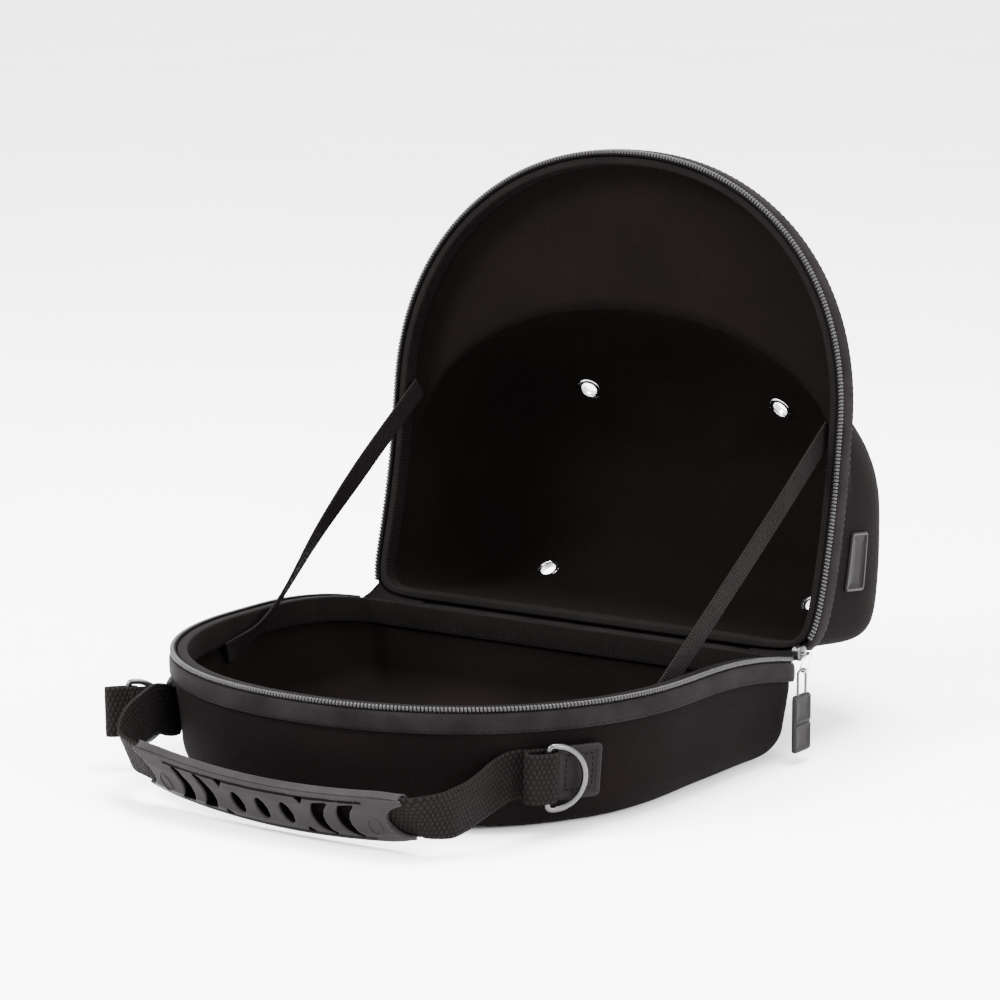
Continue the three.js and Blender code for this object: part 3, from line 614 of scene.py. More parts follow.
def ribbed_weave(name, colour, rib, column, roughness, sheen, depth=0.00035, gloss=0.03):
    """Webbing: cross ribs, set off by half a rib from one column of warp to the next."""
    look = Look(name, roughness)
    u, v, _ = look.axes(look.node("ShaderNodeUVMap", uv_map="weave").outputs[0])
    columns = look.math("DIVIDE", v, column)
    parity = look.math("PINGPONG", look.math("FLOOR", columns), 1.0)
    ribs = look.wave(u, rib, look.math("MULTIPLY", parity, math.pi))
    lanes = look.wave(v, column, -math.pi / 2)
    cover = look.math("MULTIPLY", ribs, look.math("POWER", lanes, 0.35))
    grain = look.noise(1200, 2, 0.7)
    cloud = look.noise(40, 3)
    height = look.math("MULTIPLY_ADD", grain, 0.35, cover)
    # tone follows the ribs: the valleys between them are painted darker and the crests lighter, as
    # painted shade in the weave, mixed with random cloud
    mix = look.math("MULTIPLY_ADD", cover, 0.55, look.math("MULTIPLY", cloud, 0.45))
    tone = look.blend(shade(colour, 0.3), shade(colour, 1.6), mix, 0.15, 0.85)
    return look.done(tone, look.bump(height, depth, 0.9), None, sheen, gloss)


def satin_cloth(name, colour, roughness):
    """Smooth shiny cloth pulled tight round an edge, with small pulls across it."""
    look = Look(name, roughness)
    u, v, _ = look.axes(look.node("ShaderNodeUVMap", uv_map="weave").outputs[0])
    threads = look.math("ADD", look.wave(u, 0.7), look.wave(v, 0.7))
    cloud = look.noise(60, 4)
    grain = look.noise(1500, 2)
    tone = look.blend(shade(colour, 0.75), shade(colour, 1.3), cloud, 0.3, 0.7)
    pulls = look.bump(cloud, 0.0006, 0.4)
    fine = look.bump(look.math("ADD", threads, grain), 0.00006, 0.5, pulls)
    rough = look.math("MULTIPLY_ADD", grain, 0.2, roughness - 0.1)
    return look.done(tone, fine, rough, sheen=0.01, gloss=0.006)


def moulded(name, colour, roughness, gloss=0.014):
    """Moulded rubber or plastic: fine pebble grain, and edges that are rubbed lighter."""
    look = Look(name, roughness)
    cloud = look.noise(70, 4)
    grain = look.noise(2200, 2, 0.6)
    edge = look.node("ShaderNodeNewGeometry").outputs["Pointiness"]
    worn = look.blend((0, 0, 0), (1, 1, 1), edge, 0.5, 0.62)
    base = look.blend(shade(colour, 0.8), shade(colour, 1.15), cloud, 0.3, 0.7)
    mix = look.node("ShaderNodeMix", data_type="RGBA")
    look.link(look.math("MULTIPLY", worn, 0.55), mix.inputs[0])
    look.link(base, mix.inputs[6])
    look.link((*shade(colour, 1.9), 1), mix.inputs[7])
    rough = look.math("MULTIPLY_ADD", cloud, 0.2, roughness - 0.1)
    return look.done(mix.outputs[2], look.bump(grain, PEBBLE, 0.6), rough, gloss=gloss)


def plated(name, colour, roughness):
    """Plated metal with faint scratches and handling marks."""
    look = Look(name, roughness, 1.0)
    cloud = look.noise(120, 5, 0.65)
    scratch = look.noise(3000, 1)
    tone = look.blend(shade(colour, 0.75), shade(colour, 1.1), cloud, 0.3, 0.7)
    rough = look.math("MULTIPLY_ADD", cloud, 0.25, roughness - 0.08)
    return look.done(tone, look.bump(scratch, 0.00002, 0.3), rough)


cloth = plain_weave("case_cloth", (0.00200, 0.00128, 0.00132), 0.0011, 0.88, 0.003)
lining = plain_weave("lining_cloth", (0.0020, 0.00135, 0.00132), 0.0009, 0.86, 0.002, 0.00012, 0.015)
satin = satin_cloth("satin_band_cloth", (0.0052, 0.0043, 0.0047), 0.55)
tape = ribbed_weave("binding_tape", (0.0026, 0.0019, 0.0019), 1.25, 30.0, 0.8, 0.003, 0.0003)
zip_tape = ribbed_weave("zipper_tape", (0.0016, 0.0012, 0.0012), 1.0, 1.2, 0.85, 0.003, 0.00015)
strap_cloth = ribbed_weave("strap_webbing", (0.0039, 0.0029, 0.0029), 2.2, 2.4, 0.78, 0.004, 0.0006)
stay_cloth = ribbed_weave("stay_webbing", (0.0040, 0.0031, 0.0031), 1.6, 1.8, 0.8, 0.004, 0.0004)
teeth_nylon = moulded("zipper_nylon", (0.009, 0.0086, 0.009), 0.28, 0.15)
thread = ribbed_weave("thread_black", (0.0034, 0.0028, 0.0029), 0.5, 0.5, 0.7, 0.004, 0.0001)
rubber = moulded("grip_rubber_grey", (0.0120, 0.0108, 0.0110), 0.45)
# near-black rubber for the grip's pocket faces: painted shade in the recesses
grip_pocket_shade = moulded("grip_pocket_painted_shade", (0.0012, 0.0008, 0.0008), 0.7, 0.015)
patch_rubber = moulded("patch_rubber_grey", (0.0060, 0.0051, 0.0053), 0.4)
label_print = moulded("label_print_grey", (0.03, 0.029, 0.03), 0.5)
pull_rubber = moulded("pull_rubber_grey", (0.0110, 0.0102, 0.0106), 0.42)
gunmetal = plated("gunmetal_plate", (0.060, 0.058, 0.060), 0.26)
nickel = plated("nickel_plate", (0.42, 0.42, 0.43), 0.16)


# The two shells
def base_rings(offset, floor):
    start = Base.bottom_round
    bend = start - offset
    lean = wall_inset(start) + offset
    line = []
    for k in range(11):
        turn = k / 10 * math.pi / 2
        line.append((lean + bend * (1 - math.sin(turn)), start - (start - floor) * math.cos(turn)))
    for k in range(1, 10):
        z = start + (Base.draft_top - start) * k / 9
        line.append((wall_inset(z) + offset, z))
    line.append((Base.inset + offset, Base.shell_top))
    rings = []
    middle = line[0][0]
    for part in (0.0, 0.25, 0.5, 0.75):
        rings.append([base_point(a, part * base_rim.inset(i, middle), floor)
                      for i, a in enumerate(base_rim.angles[:-1])])
    for inset, z in line:
        rings.append([on_base(i, inset, Case.rim - z) for i in range(base_rim.steps)])
    return rings


def lid_rings(offset):
    shelf = Lid.shelf - offset
    steps = range(lid_rim.steps)
    rim = [lid_rim.inset(i, Lid.inset + offset) for i in steps]

    def dome(i, h):
        return dome_radius(lid_rim.angles[i], rim[i], h, offset)

    ledge = [rim[i] - dome(i, shelf) for i in steps]
    rows = [([rim[i] for i in steps], h) for h in (Lid.edge, 7, 10, shelf - 6)]
    # Rows across the ledge: share of its width, but at most so many mm, and rise above it
    soft = (
        (0.02, 0.25, -4.8), (0.09, 0.9, -3.6), (0.2, 2.6, -2.5), (0.35, 6.0, -1.6),
        (0.55, 14.0, -0.9), (0.78, 30.0, -0.4), (0.92, 80.0, 0.2),
    )
    for part, most, rise in soft:
        rows.append(([rim[i] - min(most, part * ledge[i]) for i in steps], shelf + rise))
    for up in (1.5, 3.2):
        rows.append(([dome(i, shelf + up) for i in steps], shelf + up))
    depth = Lid.depth - offset
    first = (shelf + 5) / depth
    for k in range(22):
        part = first + (0.995 - first) * math.sin(k / 21 * math.pi / 2)
        rows.append(([dome(i, part * depth) for i in steps], part * depth))
    last = rows[-1][0]
    for part in (0.66, 0.33, 0.0):
        rows.append(([part * r for r in last], depth))
    return [[lid_point(lid_rim.angles[i], radii[i], h) for i in steps] for radii, h in rows]


def shell(name, outer, inner, rim, heart, replaces):
    """Outer and inner walls joined at the edge. Faces that look towards heart are lining."""
    parts = grid(outer + inner[::-1], rim.along)
    piece = finish_piece(name, *parts, cloth, "shell_cloth", replaces=replaces)
    piece.data.materials.append(lining)
    for face in piece.data.polygons:
        face.material_index = 1 if (face.center / MM - heart).dot(face.normal) < 0 else 0
    return piece


def eyelet_matrix(angle, h):
    a = math.radians(angle)
    middle = Lid.wall / 2

    def on(turn, height):
        plan = outline_radius(a + turn, Lid.centre_y)
        plan -= (Lid.inset + middle) * slant(a + turn, plan, Lid.centre_y)
        return lid_point(a + turn, dome_radius(a + turn, plan, height, middle), height)

    across = on(0.05, h) - on(-0.05, h)
    up = on(0, h + 2) - on(0, h - 2)
    normal = across.cross(up).normalized()
    turn = Vector((0, 1, 0)).rotation_difference(normal)
    return Matrix.Translation(on(0, h)) @ turn.to_matrix().to_4x4()


EYELETS = {
    "eyelet_front_right": (-37, 73),
    "eyelet_front_left": (217, 73),
    "eyelet_back_right": (35, 81),
    "eyelet_back_left": (145, 81),
}
eyelet_places = {name: eyelet_matrix(*where) for name, where in EYELETS.items()}


def cut_holes(piece, places, radius):
    """Bores a round hole through piece at each place, along the place's y axis."""
    cutters = bmesh.new()
    for place in places:
        lay = place @ Matrix.Rotation(math.pi / 2, 4, "X")
        lay = Matrix.Scale(MM, 4) @ lay
        bmesh.ops.create_cone(cutters, cap_ends=True, segments=40, radius1=radius, radius2=radius,
                              depth=24, matrix=lay)
    mesh = bpy.data.meshes.new("hole_cutter")
    cutters.to_mesh(mesh)
    cutters.free()
    cutter = bpy.data.objects.new("hole_cutter", mesh)
    bpy.context.collection.objects.link(cutter)
    modifier = piece.modifiers.new("holes", "BOOLEAN")
    modifier.object, modifier.operation, modifier.solver = cutter, "DIFFERENCE", "EXACT"
    apply_modifiers(piece)
    bpy.data.objects.remove(cutter)


base_heart = Vector((0, 0, 30))
lid_heart = lid_matrix @ Vector((0, Lid.centre_y - hinge_y, Case.rim + 12 - hinge_z))
base_cloth = shell("base_cloth", base_rings(0, 0), base_rings(Base.wall, Base.floor), base_rim,
                   base_heart, ("base_shell",))
lid_cloth = shell("lid_cloth", lid_rings(0)[::-1], lid_rings(Lid.wall)[::-1], lid_rim,
                  lid_heart, ("lid_shell",))
ripple(base_cloth, 0.5, 34, 3.1)
ripple(lid_cloth, 0.6, 42, 7.7)
cut_holes(lid_cloth, eyelet_places.values(), Eyelet.barrel)


# Bands, binding and zipper round both rims
band_profile = rounded_line(
    [(2.4, 3.0), (0.7, 3.0), (0.0, 4.6), (-0.15, 7.7), (0.0, 10.9), (0.6, 12.5), (2.4, 12.6)], 0.8)
tape_profile = rounded_line([(3.3, 0.5), (1.3, 0.6), (1.1, 1.6), (1.2, 2.9), (3.3, 2.9)], 0.4)


def binding_profile(wall, depth):
    top = 4 - GAP - 2.6
    inner = Base.inset + wall + GAP + 1.7
    line = [(3.6, 4 - GAP), (3.8, top), (inner - 0.2, top - 0.1), (inner + 0.1, depth * 0.55),
            (inner, depth), (inner - 1.7, depth), (inner - 1.7, 4 - GAP)]
    return rounded_line(line, 1.3, 5)


def when_shut(p, lid_side):
    """Where p lies when the case is shut, as far as x and y go."""
    return lid_matrix.inverted() @ p + Vector((0, hinge_y, 0)) if lid_side else p


def clear_of_hinge(lid_side):
    def keep(p):
        q = when_shut(p, lid_side)
        return not (q.y > BAND_END_Y and abs(q.x) < HINGE_HALF + BAND_GAP)
    return keep


def along_zip(lid_side):
    def keep(p):
        return when_shut(p, lid_side).y < ZIP_END_Y
    return keep


HALVES = {
    "base": (base_rim, on_base, False, Base.wall, 14.0),
    "lid": (lid_rim, on_lid, True, Lid.wall, 10.0),
}
for half, (rim, place, lid_side, wall, depth) in HALVES.items():
    rim_sweep(f"{half}_satin", rim, place, band_profile, clear_of_hinge(lid_side), satin,
              "satin_band", (f"{half}_band",))
    rim_sweep(f"{half}_zip_tape", rim, place, tape_profile, along_zip(lid_side), zip_tape,
              "zipper", (f"{half}_zipper",))
    rim_sweep(f"{half}_edge_tape", rim, place, binding_profile(wall, depth), lambda p: True, tape,
              "webbing", (f"{half}_binding",))


def zip_teeth(name, rim, place, lid_side):
    """The coil: a bead of nylon for every turn, standing out of the tape's edge."""
    keep = along_zip(lid_side)
    total = rim.along[-1]
    count = int(total / TOOTH_PITCH)
    vertices, faces = [], []
    i = 0
    across = [(3.1, 1.45), (2.2, 0.42), (1.0, 0.3), (0.45, 1.0), (0.42, 1.9), (1.0, 2.5), (2.2, 2.4)]
    for k in range(count):
        goal = (k + 0.5) / count * total
        while rim.along[i + 1] < goal:
            i += 1
        part = (goal - rim.along[i]) / (rim.along[i + 1] - rim.along[i])
        n = (i + 1) % rim.steps

        def spot(inset, h):
            return place(i, inset, h).lerp(place(n, inset, h), part)

        if not keep(spot(2.0, 5.0)):
            continue
        tangent = (place(n, 1.0, 1.5) - place(i, 1.0, 1.5)).normalized()
        first = len(vertices)
        middle = spot(1.8, 1.4)
        outlines = ((-0.5, 0.55), (-0.34, 0.95), (0.0, 1.06), (0.34, 0.95), (0.5, 0.55))
        for shift, size in outlines:
            for inset, h in across:
                p = spot(inset, h)
                vertices.append(middle + (p - middle) * size + tangent * (shift * TOOTH_PITCH * 0.86))
        m = len(across)
        faces += tube_faces(first, len(outlines), m)
        for start in (first, first + (len(outlines) - 1) * m):
            faces.append([start + q for q in range(m)])
    return finish_piece(name, vertices, faces, None, teeth_nylon, "zipper")


zip_teeth("base_teeth", base_rim, on_base, False)
zip_teeth("lid_teeth", lid_rim, on_lid, True)


def rim_stitches(name, rim, place, inset, h, out_inset, out_h, keep):
    """Stitches that follow the rim; the normal points from (inset, h) to (out_inset, out_h)."""
    kept = [i for i in range(rim.steps) if keep(place(i, 2.0, 5.0))]
    if len(kept) < rim.steps:
        cut = next(k for k in range(1, len(kept)) if kept[k] != kept[k - 1] + 1)
        kept = kept[cut:] + kept[:cut]
    path = []
    for i in kept:
        p = place(i, inset, h)
        path.append((p, (place(i, out_inset, out_h) - p).normalized()))
    return stitches(name, path, 3.6, 2.3, 0.55, thread, "webbing")


for half, (rim, place, lid_side, wall, depth) in HALVES.items():
    inner = Base.inset + wall + GAP + 1.75
    rim_stitches(f"{half}_binding_stitches", rim, place, inner, depth - 1.9, inner + 5, depth - 1.9,
                 lambda p: True)
    rim_stitches(f"{half}_band_stitches", rim, place, 0.25, 11.2, -5, 11.2, clear_of_hinge(lid_side))


# Eyelets
def eyelet(name, place):
    section = [(Eyelet.hole, 0.0), (Eyelet.hole, 1.35), (4.25, 2.05), (4.85, 2.35), (5.8, 2.3),
               (6.45, 2.0), (Eyelet.flange, 1.55), (6.3, 1.45), (4.75, 1.4), (Eyelet.barrel, 0.0)]
    section += [(r, -y) for r, y in reversed(section[1:-1])]
    around = circle(56)
    rings = [[place @ Vector((r * c, y, r * s)) for c, s in around] for r, y in section]
    along = [k * 2 * math.pi * 5 / len(around) for k in range(len(around) + 1)]
    return finish_piece(f"{name}_metal", *grid(rings, along, True, True), nickel, "nickel",
                        replaces=(name,))


for name, place in eyelet_places.items():
    eyelet(name, place)


# Label on the right wall of the lid: a bare patch in a raised frame
def on_label(u, v, out):
    y, h = Label.y + v, Label.h + u
    angle = math.atan2(y - Lid.centre_y, Case.half_width)
    for _ in range(8):
        plan = outline_radius(angle, Lid.centre_y)
        plan -= Lid.inset * slant(angle, plan, Lid.centre_y)
        radius = dome_radius(angle, plan, h, 0)
        angle = math.asin((y - Lid.centre_y) / radius)
    return lid_point(angle, radius, h) + Vector((out, 0, 0))


plate("label_frame", Label.width / 2, Label.length / 2, 2.0,
      [(0, GAP), (0, 1.0), (0.35, 1.45), (1.6, 1.5), (2.0, 1.1), (2.2, 0.95), (6.0, 0.95)],
      on_label, patch_rubber, "webbing", replaces=("label_patch",))


label_line = [
    on_label(p.x, p.y, 1.35)
    for p in round_rect(Label.width / 2 - 1.0, Label.length / 2 - 1.0, 1.4, 5, 10)
]
wire("label_line", label_line, 0.6, label_print, "webbing", CASE_BODY, (), 8)


# Hinge tape behind the two halves
def hinge_frames():
    half = GAP + HINGE_THICKNESS / 2
    rows = [base_point(math.pi / 2, Case.back - wall_inset(z), z) + Vector((0, half, 0))
            for z in (HINGE_LOW, Base.draft_top, Base.shell_top - 1)]
    middle, end = (lid_matrix @ Vector((0, -Lid.inset + half, h)) for h in (Lid.edge + 0.5, HINGE_REACH))
    rows += [Vector((0, middle.y - 3.8, middle.z - 0.35)), middle, end]
    across = (1, 0, 0)
    return strap_frames([((0, p.y, p.z), across) for p in rows], 40)


strap("hinge_cloth", hinge_frames(), 2 * HINGE_HALF, HINGE_THICKNESS, tape, "shell_cloth",
      replaces=("hinge_tape",))


def hinge_gusset(name, side):
    """The fold of cloth at each end of the hinge, from one rim round to the other."""
    edges = [(i, on_base(i, 2.0, 2.0)) for i in range(base_rim.steps)]
    low = [(i, p) for i, p in edges if side * p.x > HINGE_HALF - 4 and p.y > ZIP_END_Y]
    low.sort(key=lambda pair: side * pair[1].x - pair[1].y)
    back = [i for i in range(lid_rim.steps) if lid_rim.plan(i).y > Lid.centre_y + 55]
    rows = []
    for i, _ in low:
        edge = on_base(i, 2.6, 2.2)
        flat = base_rim.plan(i)
        j = min(back, key=lambda n: (flat - lid_rim.plan(n)).length)
        top = on_lid(j, 2.6, 2.2)
        middle = edge.lerp(top, 0.5) + Vector((0, 0.4, -0.8))
        rows.append([on_base(i, 3.0, 4.4), edge, middle, top, on_lid(j, 3.0, 4.4)])
    thin = Vector((side * 0.35, 0.35, -0.5))
    section = [[row[k] for row in rows] for k in range(5)]
    section += [[row[k] + thin for row in rows] for k in range(4, -1, -1)]
    parts = grid(section, walk([row[2] for row in rows]), False, True, True)
    return finish_piece(name, *parts, zip_tape, "shell_cloth")


hinge_gusset("hinge_gusset_right", 1)
hinge_gusset("hinge_gusset_left", -1)


# The wall of the base near an anchor: distance along the rim, height, distance out of the wall
def rim_line():
    points = []
    for i in range(401):
        a = -math.pi / 2 + i / 400 * math.pi
        r = outline_radius(a, 0)
        points.append(Vector((r * math.cos(a), r * math.sin(a))))
    return points


wall_line = rim_line()


def wall_point(along, z, out):
    left, i = along, 0
    while left > (wall_line[i] - wall_line[i + 1]).length:
        left -= (wall_line[i] - wall_line[i + 1]).length
        i += 1
    step = (wall_line[i + 1] - wall_line[i]).normalized()
    outward = Vector((step.y, -step.x))
    lean = Base.inset + Base.draft * (Base.draft_top - z)
    p = wall_line[i] + step * left + outward * (out - lean)
    return Vector((p.x, p.y, z))


def mirrored(side, p):
    return Vector((side * p.x, p.y, p.z))


# Straps
patch_out = Webbing.thickness + 3 * GAP
patch_start = Anchor.along - Anchor.patch_length / 2


def wall_row(along, side):
    on_wall = Webbing.thickness / 2 + 2 * GAP
    up = wall_point(along, Anchor.height + 1, 0) - wall_point(along, Anchor.height, 0)
    return (mirrored(side, wall_point(along, Anchor.height, on_wall)), mirrored(side, up))


def grip_map(p):
    part = (2 * p.x / Grip.length) ** 2
    lean, turn = math.radians(Grip.lean), math.radians(Grip.turn)
    y = p.y * math.cos(lean) + p.z * math.sin(lean) + Grip.bow * part
    z = -p.y * math.sin(lean) + p.z * math.cos(lean) + Grip.sag * part
    z += p.x * math.tan(math.radians(Grip.roll))
    return Grip.centre + Vector((
        p.x * math.cos(turn) - y * math.sin(turn),
        p.x * math.sin(turn) + y * math.cos(turn),
        z,
    ))


def grip_row(side, inside):
    across = grip_map(Vector((0, 0, 1))) - grip_map(Vector((0, 0, 0)))
    return (grip_map(Vector((side * (Grip.length / 2 - inside), 0, 0))), across)


def webbing_rows(side, on_wall, free):
    """Rows of the handle's webbing: on the wall, free in the air, and in the end of the grip."""
    rows = [wall_row(along, side) for along in on_wall]
    leave, enter = rows[-1][0], grip_row(side, -4)[0]
    for part, aside, lift, across in free:
        rows.append((leave.lerp(enter, part) + Vector((side * aside, 0, lift)), across))
    return rows + [grip_row(side, inside) for inside in (-4, Grip.slot / 4, Grip.slot - 2)]


# Free rows: share of the way from wall to grip, millimetres outwards and up, direction across
webbing_right = webbing_rows(1, (148, 138, 128, 117, 106), (
    (0.18, -0.3, -1, (0.05, -0.1, 1)),
    (0.4, 2.3, -1.8, (0.1, -0.25, 1)),
    (0.63, 5.1, -2, (0.1, -0.35, 1)),
    (0.83, 5.8, -1.2, (0, -0.5, 0.9)),
))
webbing_left = webbing_rows(-1, (148, 139, 131, 124), (
    (0.13, 0.8, 2.2, (-0.05, 0.1, 1)),
    (0.33, 3.9, 8, (-0.05, 0.05, 1)),
    (0.55, 6.8, 8.8, (0, -0.15, 1)),
    (0.77, 10.8, 6, (0, -0.3, 1)),
    (0.93, 9.4, 1.8, (0, -0.5, 0.9)),
))
for side, rows, steps in (("right", webbing_right, 110), ("left", webbing_left, 120)):
    strap(f"handle_web_{side}", strap_frames(rows, steps), Webbing.width, Webbing.thickness,
          strap_cloth, "webbing", replaces=(f"webbing_{side}",))

stay_across = (0, -0.57, 0.82)
stay_right = [
    ((119.6, -18, 43), stay_across),
    ((120.4, 30, 75), stay_across),
    ((121, 95, 118), stay_across),
    ((120.6, 147, 152.6), stay_across),
]
stay_left = [
    ((-119.4, -18, 43), (0.1, -0.5, 0.85)),
    ((-118.6, 4, 50), (0.5, -0.3, 0.8)),
    ((-118.2, 22, 62), (0.6, -0.45, 0.7)),
    ((-119.4, 57.5, 91), (0.3, -0.57, 0.8)),
    ((-120.4, 100, 121), stay_across),
    ((-120.6, 147, 152.6), stay_across),
]
for side, rows, steps in (("right", stay_right, 110), ("left", stay_left, 120)):
    strap(f"stay_web_{side}", strap_frames(rows, steps), STAY_WIDTH, STAY_THICKNESS, stay_cloth,
          "webbing", replaces=(f"stay_strap_{side}",))


# Ring loops and rings. Local frame: x towards the patch, y out of the wall, z up
def loop_place_right():
    along = patch_start - GAP - Loop.length / 2
    out = patch_out + Loop.depth / 2
    origin = wall_point(along, Anchor.height, out)
    ahead = wall_point(along + 2, Anchor.height, out) - wall_point(along - 2, Anchor.height, out)
    return origin, math.atan2(ahead.y, ahead.x), -1


def loop_place_left():
    tip = wall_point(patch_start - Loop.tip_gap, Anchor.height, patch_out + Loop.thickness)
    angle = math.radians(Loop.left_turn)
    ahead = Vector((math.cos(angle), math.sin(angle), 0))
    outward = Vector((-math.sin(angle), math.cos(angle), 0))
    origin = mirrored(-1, tip) - ahead * (Loop.length / 2 + Loop.left_tail)
    return origin + outward * (Loop.depth - Loop.thickness) / 2, angle, 1


def loop_matrix(place):
    origin, angle, mirror = place
    return (
        Matrix.Translation(origin)
        @ Matrix.Rotation(angle, 4, "Z")
        @ Matrix.Diagonal((1, mirror, 1, 1))
        @ Matrix.Rotation(-math.atan(Base.draft), 4, "X")
    )


loop_places = {"right": loop_matrix(loop_place_right()), "left": loop_matrix(loop_place_left())}
bar_shift = Loop.length / 2 - Loop.depth / 2


def ring_loop(side, tail):
    place = loop_places[side]
    turn3 = place.to_3x3()
    thin = Loop.thickness / 2
    path = round_rect(Loop.length / 2 - thin, Loop.depth / 2 - thin, Loop.depth / 2 - thin, 8, 8)
    up = turn3 @ Vector((0, 0, 1))
    frames = []
    for k, p in enumerate(path):
        step = path[(k + 1) % len(path)] - path[k - 1]
        out = Vector((step.y, -step.x, 0)).normalized()
        frames.append((place @ Vector((p.x, p.y, 0)), up, turn3 @ out))
    name = f"ring_loop_{side}"
    strap(f"{name}_web", frames, Loop.height, Loop.thickness, strap_cloth, "webbing", closed=True,
          replaces=(name,))
    if tail:
        start, end = Loop.length / 2 - Loop.depth / 2, Loop.length / 2 + tail
        level = -Loop.depth / 2 + thin
        line = [start + (end - start) * k / 12 for k in range(13)]
        out = turn3 @ Vector((0, 1, 0))
        strap(f"{name}_tail", [(place @ Vector((x, level, 0)), up, out) for x in line],
              Loop.height, Loop.thickness, strap_cloth, "webbing")


def ring_path():
    half, c = Ring.bar / 2, Ring.corner
    points = [Vector((0, -half + c + (Ring.bar - 2 * c) * (1 - k / 14))) for k in range(15)]
    for k in range(1, 7):
        turn = math.pi + k / 6 * math.pi / 2
        points.append(Vector((c + c * math.cos(turn), -half + c + c * math.sin(turn))))
    reach = Ring.reach - c - 1
    for k in range(41):
        turn = -math.pi / 2 + k / 40 * math.pi
        points.append(Vector((c + 1 + reach * math.cos(turn), half * math.sin(turn))))
    for k in range(6):
        turn = math.pi / 2 + k / 6 * math.pi / 2
        points.append(Vector((c + c * math.cos(turn), half - c + c * math.sin(turn))))
    return points


for side, tail in (("right", 0), ("left", Loop.left_tail)):
    ring_loop(side, tail)
    points = [loop_places[side] @ Vector((p.x + bar_shift, 0, p.y - Ring.sag)) for p in ring_path()]
    wire(f"side_ring_{side}", points, Ring.wire, gunmetal, "gunmetal", f"ring_{side}",
         (f"d_ring_{side}",), 20)


# Anchor patches: moulded, with a raised border and a row of stitches
def on_patch(side):
    middle = patch_start + Anchor.patch_length / 2

    def place(u, v, out):
        return mirrored(side, wall_point(middle + u, Anchor.height + v, patch_out + out))
    return place


patch_profile = [
    (0, 0), (0, 1.7), (0.3, 2.25), (0.9, Anchor.patch_thickness), (2.2, Anchor.patch_thickness),
    (2.7, 2.1), (3.0, 1.75), (3.6, 1.7), (7.0, 1.7), (10.0, 1.7),
]
for side, sign in (("right", 1), ("left", -1)):
    place = on_patch(sign)
    half_u, half_v = Anchor.patch_length / 2, Anchor.patch_height / 2
    plate(f"anchor_patch_{side}", half_u, half_v, 2.4, patch_profile, place, patch_rubber,
          "grip_rubber", replaces=(f"patch_{side}",))
    path = []
    for p in round_rect(half_u - Anchor.stitch_inset, half_v - Anchor.stitch_inset, 1.2):
        here = place(p.x, p.y, 1.72)
        path.append((here, (place(p.x, p.y, 5) - here).normalized()))
    stitches(f"patch_{side}_stitches", path, 2.9, 2.0, 0.55, thread, "webbing", closed=True)


# Grip: the solid's own form with its edges softened as moulded rubber
def grip_flat(point):
    """The inverse of grip_map, near enough: along the grip, through it and up it."""
    p = point - Grip.centre
    lean, turn = math.radians(Grip.lean), math.radians(Grip.turn)
    x = p.x * math.cos(turn) + p.y * math.sin(turn)
    part = (2 * x / Grip.length) ** 2
    y = -p.x * math.sin(turn) + p.y * math.cos(turn) - Grip.bow * part
    z = p.z - Grip.sag * part - x * math.tan(math.radians(Grip.roll))
    return Vector((x, y * math.cos(lean) - z * math.sin(lean), y * math.sin(lean) + z * math.cos(lean)))


def in_pocket(flat):
    # Faces inside the pockets, which take the near-black material as painted shade.
    front = -Grip.thickness / 2
    return front + 1.1 < flat.y < front + Grip.pocket + 1.2 and abs(flat.z) < 11.7 and abs(flat.x) < 56


def grip_piece():
    source = frame["nodes"]["handle_grip"]
    piece = bpy.data.objects.new("moulded_grip", source.data.copy())
    bpy.context.collection.objects.link(piece)
    remesh = piece.modifiers.new("even", "REMESH")
    remesh.mode, remesh.voxel_size = "VOXEL", 0.45 * MM
    soften = piece.modifiers.new("soft", "SMOOTH")
    soften.factor, soften.iterations = 0.5, 6
    apply_modifiers(piece)
    mesh = piece.data
    mesh.materials.clear()
    mesh.materials.append(rubber)
    mesh.materials.append(grip_pocket_shade)
    # pocket faces take the near-black material: painted shade in the recesses
    for face in mesh.polygons:
        face.material_index = 1 if in_pocket(grip_flat(face.center / MM)) else 0
    mesh.polygons.foreach_set("use_smooth", [True] * len(mesh.polygons))
    return dress(piece, "grip_rubber", replaces=("handle_grip",))


def grip_rib(name, sign):
    """The raised rib along the grip's top or bottom, which closes over the webbing's ends."""
    origin = grip_map(Vector((0, 0, 0)))
    through = (grip_map(Vector((0, 1, 0))) - origin).normalized()
    up = (grip_map(Vector((0, 0, sign))) - origin).normalized()
    frames = []
    for k in range(81):
        x = (k / 40 - 1) * (Grip.length / 2 - 1.5)
        taper = 1 - 0.1 * smooth(0.8, 1, 2 * abs(x) / Grip.length)
        ends = 1 - smooth(0.94, 1.0, abs(k / 40 - 1))
        high = Grip.height / 2 * taper - 0.55 + 0.6 * ends
        frames.append((grip_map(Vector((x, 0, sign * high))), through, up))
    strap(name, frames, 4.2, 1.5, rubber, "grip_rubber")


grip_piece()
grip_rib("grip_rib_top", 1)
grip_rib("grip_rib_low", -1)
for side, sign in (("right", 1), ("left", -1)):
    middle = Vector((sign * Grip.boss_at, -Grip.thickness / 2 - 0.05, Grip.boss_drop))
    points = [grip_map(middle + Vector((Grip.boss_size[0] * c, 0, Grip.boss_size[1] * s)))
              for c, s in circle(48)]
    wire(f"grip_boss_{side}", points, 0.8, rubber, "grip_rubber", CASE_BODY)


# Zip slider and pull
def on_slider(u, v, out):
    return Slider.at + Vector((out - Slider.size.x / 2, u, v))


